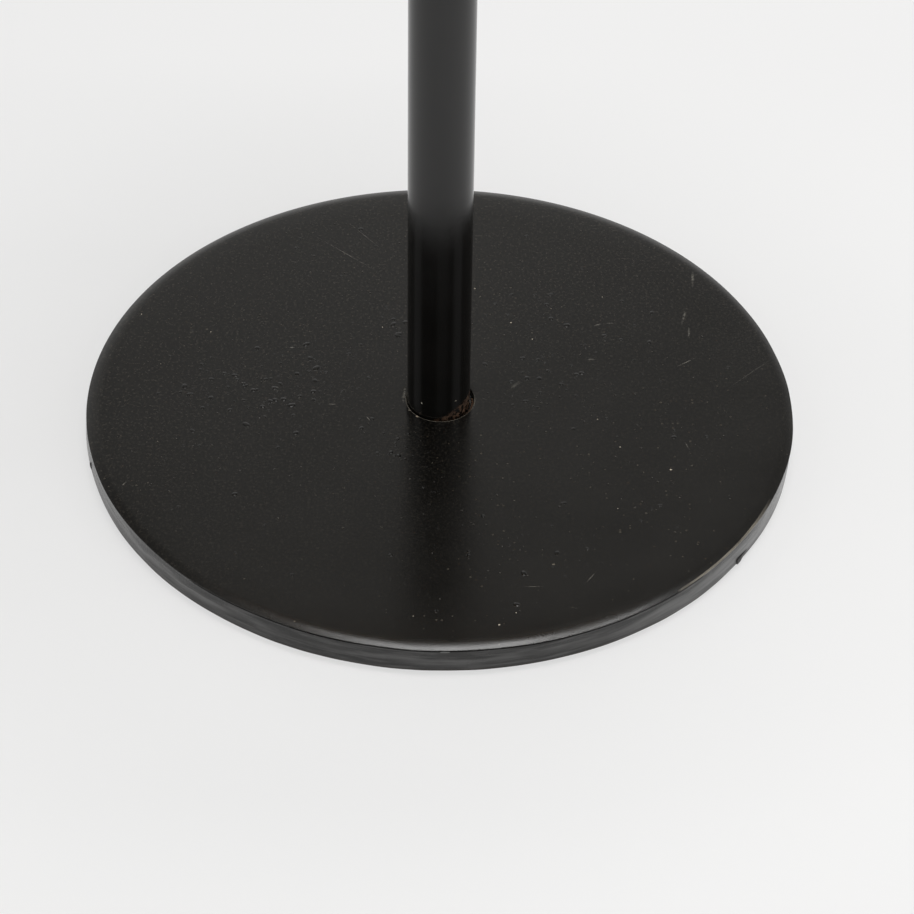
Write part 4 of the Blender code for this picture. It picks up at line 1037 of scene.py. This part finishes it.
shadeSet = {"foot": 309.2, "top": 504.2, "lowRadius": 145, "highRadius": 110}  # outside of the weave, mm
frameSet = {
    "wire": 1.75, "wireInset": 8.05, "ringInset": 5, "struts": 6,
    "fitter": (19.8, 30, 345.2, 346.7),  # hole, edge, low and high
    "arms": 3, "bend": 42.3, "bendHalf": 4, "phase": 30,
}


def shadeRadius(height):  # outside of the weave at a height
    share = (height - shadeSet["foot"]) / (shadeSet["top"] - shadeSet["foot"])
    return shadeSet["lowRadius"] + (shadeSet["highRadius"] - shadeSet["lowRadius"]) * share


def frameRadius(height):
    return shadeRadius(height) - frameSet["wireInset"]


def bead(place, size):  # a small uneven weld, in mm
    bpy.ops.mesh.primitive_uv_sphere_add(segments=14, ring_count=8, radius=size * mm, location=inMm(place))
    lump = bpy.context.object
    lump.scale = (1.0, 1.25, 0.8)
    roughened(lump, size * 0.08 * mm, 2)
    settle(lump)
    return lump


def makeFrameRing(name, level, welds, s):  # welds are (count, outwards and upwards of the ring's wire)
    away = frameRadius(level)
    parts = [hoop(away, s["wire"], 200, 12, (0, 0, level))]
    for count, out, up in welds:
        parts += turnedCopies(bead((away + out, 0, level + up), 1.7), count, s["phase"])
    return joined(name, parts, 50)


lowLevel, highLevel = shadeSet["foot"] + frameSet["ringInset"], shadeSet["top"] - frameSet["ringInset"]
lowRing = makeFrameRing("frame_lower_ring", lowLevel, [(6, -0.15, 1.7), (3, -1.9, 0)], frameSet)
highRing = makeFrameRing("frame_upper_ring", highLevel, [(6, 0.15, -1.7)], frameSet)
finishPiece(lowRing, "black_wire", wirePaint, "lower_ring")
finishPiece(highRing, "black_wire", wirePaint, "upper_ring")


def makeStrut(s):
    low, high = lowLevel + s["wire"] + 0.3, highLevel - s["wire"] - 0.3
    strut = rodBetween("strut", (frameRadius(low), 0, low), (frameRadius(high), 0, high), s["wire"], 14, 3)
    makeActive(strut)
    soften = strut.modifiers.new("soften", "BEVEL")
    soften.width = 0.3 * mm
    soften.segments = 2
    bpy.ops.object.modifier_apply(modifier=soften.name)
    tidyMesh(strut, 50)
    return strut


def makeArm(s):  # level from the fitter ring, a bend, then straight down to the lower ring
    edge, low, high = s["fitter"][1:]
    level, bend, half = (low + high) / 2, s["bend"], s["bendHalf"]
    start, end = edge + 0.3, frameRadius(lowLevel) - s["wire"] - 0.3
    slope = (lowLevel - level) / (end - bend)
    points = [(start, 0, level), (start + 3, 0, level), (bend - half, 0, level)]
    for share in [step / 7 for step in range(1, 7)]:
        points.append((bend + half * (2 * share - 1), 0, level + slope * half * share**2))
    for share in (0, 0.3, 0.7, 1):
        run = half + (end - bend - half) * share
        points.append((bend + run, 0, level + slope * run))
    return strand("arm", points, (2 * s["wire"], 2 * s["wire"], 14))


for makeWire, count, name, node in (
    (makeStrut, frameSet["struts"], "frame_strut", "strut"),
    (makeArm, frameSet["arms"], "frame_arm", "spider_arm"),
):
    for number, wire in enumerate(turnedCopies(makeWire(frameSet), count, frameSet["phase"]), 1):
        settle(wire)
        wire.name = f"{name}_{number}"
        finishPiece(wire, "black_wire", wirePaint, f"{node}_{number}")


def makeFitter(s):
    hole, edge, low, high = s["fitter"]
    ring = lathe("fitter", boxRings(hole, edge, low, high, 0.2, 0.4), 96)
    welds = turnedCopies(bead((edge + 0.5, 0, (low + high) / 2), 1.9), s["arms"], s["phase"])
    return joined("fitter_plate", [ring, *welds], 40)


finishPiece(makeFitter(frameSet), "black_wire", wirePaint, "fitter_ring")

nutSet = {"bore": 19.8, "radius": 27, "low": 347, "high": 355, "edge": 1.6, "notches": 12, "notch": 2.5}


def makeNut(bore, radius, low, high, edge, notches, notch):
    nut = lathe("shade_ring_nut", [
        (bore, low + 0.5), (bore + 0.5, low), (radius - 0.5, low), (radius, low + 0.5),
        *roundOff((radius - edge, high - edge), (edge, edge), 0, 90, 6), (bore + 0.6, high), (bore, high - 0.6),
    ], 96)
    return notched(nut, notches, notch, radius + notch / 2, low, high)


finishPiece(makeNut(**nutSet), "phenolic", blackMoulded, "shade_nut")
print("shade frame made")

weaveSet = {
    "foot": 318.2, "top": 495.2, "bands": 13, "reeds": 4, "reach": 2.2, "reed": (1.6, 3.15, 6),
    "stakes": 40, "stake": 1.4, "stakeInset": 3, "stakeEnds": 2.2, "seed": 5,
}
rimSet = {
    "middle": 4.5, "inset": 2.25, "size": (3.3, 4.05), "coreGap": 0.25,
    "band": (0.45, 3.8), "pitch": 4.06, "tilt": 12, "seed": 6,
}
tieSet = {
    "radius": 4.4, "thick": 0.34, "shape": (1, 0.62, 3.6), "out": 2.3, "drop": 0.15, "count": 24, "phase": 7.5,
}


def makeStakes(s):  # upright canes of the weave, one made and copied round
    low, high, inset = shadeSet["foot"] + s["stakeEnds"], shadeSet["top"] - s["stakeEnds"], s["stakeInset"]
    start, end = (shadeRadius(low) - inset, 0, low), (shadeRadius(high) - inset, 0, high)
    stake = rodBetween("stake", start, end, s["stake"], 8, 7)
    roughened(stake, 0.05 * mm, 4)
    return joined("shade_stakes", turnedCopies(stake, s["stakes"], 0, 0.12, random.Random(s["seed"])), 60)


def rowPitch(s):
    return (s["top"] - s["foot"]) / (s["bands"] * s["reeds"])


def makeWeaver(s):  # rings of reed, worked four together in front of one stake and behind the next
    steps = s["stakes"] * 4
    reeds = []
    for row in range(s["bands"] * s["reeds"]):
        side = 1 if row // s["reeds"] % 2 == 0 else -1
        points = []
        for step in range(steps):
            angle = math.tau * step / steps
            spot = Vector((math.cos(angle) * 2.2, math.sin(angle) * 2.2, row * 3.7))
            level = s["foot"] + rowPitch(s) * (row + 0.5)
            level += 0.2 * noise.noise(spot) + 0.1 * noise.noise(spot * 4)
            reach = side * s["reach"] + 0.14 * noise.noise(spot * 2.6)
            away = shadeRadius(level) - s["stakeInset"] + reach * math.cos(angle * s["stakes"] / 2)
            points.append((away * math.cos(angle), away * math.sin(angle), level))
        reeds.append(strand("reed", points, s["reed"], True))
    return joined("shade_weaver", reeds)


def makeRims(middle, inset, size, coreGap, band, pitch, tilt, seed):
    cores, wraps = [], []  # a core in each rim, wrapped with flat cane
    draw = random.Random(seed)
    (across, upright), (thick, wide) = size, band
    for level in (shadeSet["foot"] + middle, shadeSet["top"] - middle):
        away = shadeRadius(level) - inset
        core = hoop(away, across - coreGap, 160, 12)
        resized(core, (1, 1, (upright - coreGap) / (across - coreGap)))
        settle(core, at=(0, 0, level))
        cores.append(core)
        wrap = hoop(across, thick, 14, 6)
        resized(wrap, (1, upright / across, wide / 2 / thick))
        settle(wrap, (quarter, 0, 0))  # now it rings the rim's line, which runs along y here
        settle(wrap, (math.radians(tilt), 0, 0), (away, 0, level))
        wraps += turnedCopies(wrap, round(math.tau * away / pitch), 0, 0.14, draw)
    return joined("shade_rim_cores", cores, 60), joined("shade_rim_wraps", wraps, 60)


def makeTies(radius, thick, shape, out, drop, count, phase):  # lashings that hold the rims to the frame's rings
    ties = []
    for level, down in ((lowLevel, drop), (highLevel, -drop)):
        tie = hoop(radius, thick, 18, 6)
        resized(tie, shape)
        settle(tie, (quarter, 0, 0))
        settle(tie, at=(frameRadius(level) + out, 0, level - down))
        ties += turnedCopies(tie, count, phase)
    return joined("shade_ties", ties, 60)


def makeReedLook(s):  # streaks along each reed, and a tone that drifts along it and from row to row
    look = startLook("cane reed", {"IOR": 1.46, "Sheen Weight": 0.1})
    right, rear, up = sidesOf(objectPlace())
    row = maths("FLOOR", minus(times(up, 1 / rowPitch(s)), s["foot"] / rowPitch(s)))

    def alongReed(lengthwise, stagger, across, detail):
        height = plus(times(row, stagger), times(up, across))
        inputs = {"X": times(right, lengthwise), "Y": times(rear, lengthwise), "Z": height}
        return grain(add("CombineXYZ", inputs).outputs[0], 1.0, detail)

    drift = alongReed(0.007, 7.3, 0.0, 2.0)
    fibre = alongReed(0.055, 3.1, 2.4, 3.0)
    blotch = alongReed(0.060, 5.7, 0.2, 2.0)
    tone = plus(times(drift, 0.6), times(fibre, 0.4))
    colour = ramp(tone, (0.3, (0.30, 0.165, 0.065)), (0.5, (0.50, 0.31, 0.135)), (0.72, (0.64, 0.44, 0.22)))
    colour = blended(times(rising(blotch, 0.6, 0.8), 0.5), colour, (0.19, 0.095, 0.035))
    return dress(look, colour, span(fibre, 0.42, 0.66, 0.3, 0.7), bumped(fibre, 0.35, 0.2))


def makeCaneLook(name, dark, light, upright):  # grain up the stakes, or round the rim's bands
    look = startLook(name, {"IOR": 1.46, "Sheen Weight": 0.1})
    if upright:
        fibre = grain(stretched(objectPlace(), (1300, 1300, 40)), 1.0, 3.0)
        patch = grain(stretched(objectPlace(), (60, 60, 22)), 1.0, 2.0)
    else:
        fibre = grain(roundTheAxis(150.0, 0.09, 0.09), 1.0, 3.0)
        patch = grain(roundTheAxis(30.0, 0.04, 0.04), 1.0, 2.0)
    colour = ramp(plus(times(fibre, 0.5), times(patch, 0.5)), (0.34, dark), (0.66, light))
    return dress(look, colour, span(fibre, 0.4, 0.62, 0.3, 0.7), bumped(fibre, 0.3, 0.2))


stakeCane = makeCaneLook("stake cane", (0.30, 0.17, 0.07), (0.56, 0.37, 0.175), True)
rimCane = makeCaneLook("rim cane", (0.34, 0.19, 0.075), (0.62, 0.42, 0.205), False)
finishPiece(makeWeaver(weaveSet), "cane", makeReedLook(weaveSet), "shade_weave")
finishPiece(makeStakes(weaveSet), "cane", stakeCane, "shade_weave")
for rim in makeRims(**rimSet):
    finishPiece(rim, "cane", rimCane, "shade_weave")
finishPiece(makeTies(**tieSet), "cane", stakeCane, "shade_weave")
print("woven shade made")

# the solids that stay as they are, and their finishes
keptLooks = {
    "felt_pad": plainLook(
        "grey felt", (0.035, 0.034, 0.033), (0.075, 0.073, 0.07), (0.9, 1.0), 900, 0.8, 0.3, 4.0,
        {"Sheen Weight": 0.3},
    ),
    "base_bolt": zincLook, "spring_washer": zincLook, "switch_shaft": zincLook,
    "foot_plug": plainLook(
        "turned steel", (0.30, 0.29, 0.28), (0.45, 0.44, 0.43), (0.3, 0.5), 260, 0.1, 0.05, sockets=metal
    ),
    "live_wire": plainLook("brown wire", (0.10, 0.036, 0.012), (0.15, 0.055, 0.02), (0.35, 0.5), 300),
    "neutral_wire": plainLook("blue wire", (0.012, 0.07, 0.25), (0.02, 0.10, 0.34), (0.35, 0.5), 300),
    "holder_nipple": brassLook, "live_terminal_screw": brassLook, "neutral_terminal_screw": brassLook,
    "centre_contact": brassLook, "screw_shell": brassLook, "switch_leaf": brassLook,
    "holder_core": plainLook(
        "glazed porcelain", (0.72, 0.70, 0.66), (0.82, 0.81, 0.78), (0.12, 0.25), 140,
        sockets={"Coat Weight": 0.4},
    ),
    "switch_cam": plainLook("pale cam plastic", (0.62, 0.60, 0.55), (0.72, 0.70, 0.66), (0.35, 0.5), 200),
    "bulb_contact": nickelLook,
    "bulb_insulator": plainLook("black glass", (0.004, 0.004, 0.005), (0.008, 0.008, 0.01), (0.05, 0.12), 120),
    "led_board": plainLook("white circuit board", (0.60, 0.62, 0.60), (0.72, 0.74, 0.72), (0.3, 0.5), 180),
}
for nodeName, look in keptLooks.items():
    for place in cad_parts[nodeName].material_slots:
        place.material = look
print("kept solids finished:", len(keptLooks))

stageSet = {
    "floorSize": 60.0, "floorTonesWithPaintedLight": (0.845, 0.869), "depthPaintedLight": (1.03, 0.975), "glow": 0.70,
    "sky": [(0.0, (0.92, 0.91, 0.90)), (0.24, (0.90, 0.895, 0.885)), (0.5, (0.64, 0.63, 0.61)),
            (0.61, (0.51, 0.50, 0.48)), (0.67, (0.378, 0.370, 0.353)), (0.74, (0.360, 0.349, 0.329))],
    "flanks": [(0.05, 0.62), (0.28, 0.70), (0.40, 1.0), (0.52, 1.0), (0.60, 0.79), (0.72, 0.66), (0.95, 0.62)],
    "behind": (0.705, 0.703, 0.698),  # what the camera sees past the floor's end
    "softboxes": {  # place, size and power, and the point that each is aimed at
        "top": ((0.24, 0.17, 1.75), (0.92, 0.52), 20.2, (0.24, 0.17, 0)),
        "left": ((-2.3, -0.2, 1.7), (1.3, 1.3), 8.0, (0, 0, 0.1)),
        "right": ((2.2, -0.9, 1.7), (1.3, 1.3), 9.0, (0, 0, 0.1)),
        "front": ((0.5, -2.4, 1.5), (1.6, 1.0), 5.0, (0, 0, 0.1)),
    },
}


def makeFloor(s):
    bpy.ops.mesh.primitive_plane_add(size=s["floorSize"], location=(0, 0, -0.05 * mm))  # a hair below the felt
    floor = bpy.context.object
    floor.name = "pale_floor"
    look = startLook("pale floor", {"Roughness": 0.9, "Specular IOR Level": 0.0})
    right, rear = sidesOf(objectPlace())[:2]
    # painted light: the floor is painted darker to the left and the back, and lighter to the right and the
    # front, as the light falls across it
    leftToneShadedDarker, rightToneLitBrighter = s["floorTonesWithPaintedLight"]
    tone = ramp(rising(right, -160, 160), (0.0, leftToneShadedDarker), (1.0, rightToneLitBrighter))
    tone = times(tone, span(rear, *s["depthPaintedLight"], -140, 180))
    shader = tree.nodes["Principled BSDF"]
    feed(shader, {"Base Color": tone})
    lit = add("Emission", {"Color": tone})
    mix = add("MixShader", {"Fac": s["glow"], 1: shader.outputs[0], 2: lit.outputs[0]})
    feed(tree.nodes["Material Output"], {"Surface": mix.outputs[0]})
    floor.data.materials.append(look)


def makeSky(s):  # tones by the sine of the height, darker to the sides above the horizon
    world = bpy.data.worlds.new("studio")
    bpy.context.scene.world = world
    openTree(world)
    right, _, up = add("SeparateXYZ", {"Vector": add("TexCoord").outputs["Generated"]}).outputs
    flanks = ramp(plus(right, 0.5), *s["flanks"])
    sky = blended(rising(up, 0.30, 0.44), ramp(up, *s["sky"]), flanks, "MULTIPLY")
    sky = blended(add("LightPath").outputs["Is Camera Ray"], sky, s["behind"])
    feed(tree.nodes["Background"], {"Color": sky})


def makeSoftboxes(s):
    for name, (place, size, power, target) in s["softboxes"].items():
        bpy.ops.object.light_add(type="AREA", location=place)
        softbox = bpy.context.object
        softbox.name = name + "_softbox"
        softbox.data.shape = "RECTANGLE"
        softbox.data.size, softbox.data.size_y = size
        softbox.data.energy = power
        softbox.visible_camera = False
        softbox.rotation_euler = (Vector(target) - softbox.location).to_track_quat("-Z", "Y").to_euler()


cameraSet = {
    "distance": 0.93525, "elevation": 40.80,  # from the middle of the plate's top
    "pitch": 41.88, "yaw": 0.477, "roll": 0.911, "lens": 120.84,
}


def makeCamera(s, plateTop):
    rise = math.radians(s["elevation"])
    bpy.ops.object.camera_add(
        location=(0, -s["distance"] * math.cos(rise), plateTop + s["distance"] * math.sin(rise))
    )
    camera = bpy.context.object
    camera.name = "photo_camera"
    turn = (
        Matrix.Rotation(-math.radians(s["yaw"]), 3, "Z")
        @ Matrix.Rotation(math.radians(90 - s["pitch"]), 3, "X")
        @ Matrix.Rotation(math.radians(s["roll"]), 3, "Z")
    )
    camera.rotation_euler = turn.to_euler()
    camera.data.sensor_width = 36
    camera.data.lens = s["lens"]
    camera.data.clip_start = 0.02
    bpy.context.scene.camera = camera


makeFloor(stageSet)
makeSky(stageSet)
makeSoftboxes(stageSet)
makeCamera(cameraSet, plateSet["top"] * mm)
bpy.context.scene.view_settings.view_transform = "Standard"
print("stage set")
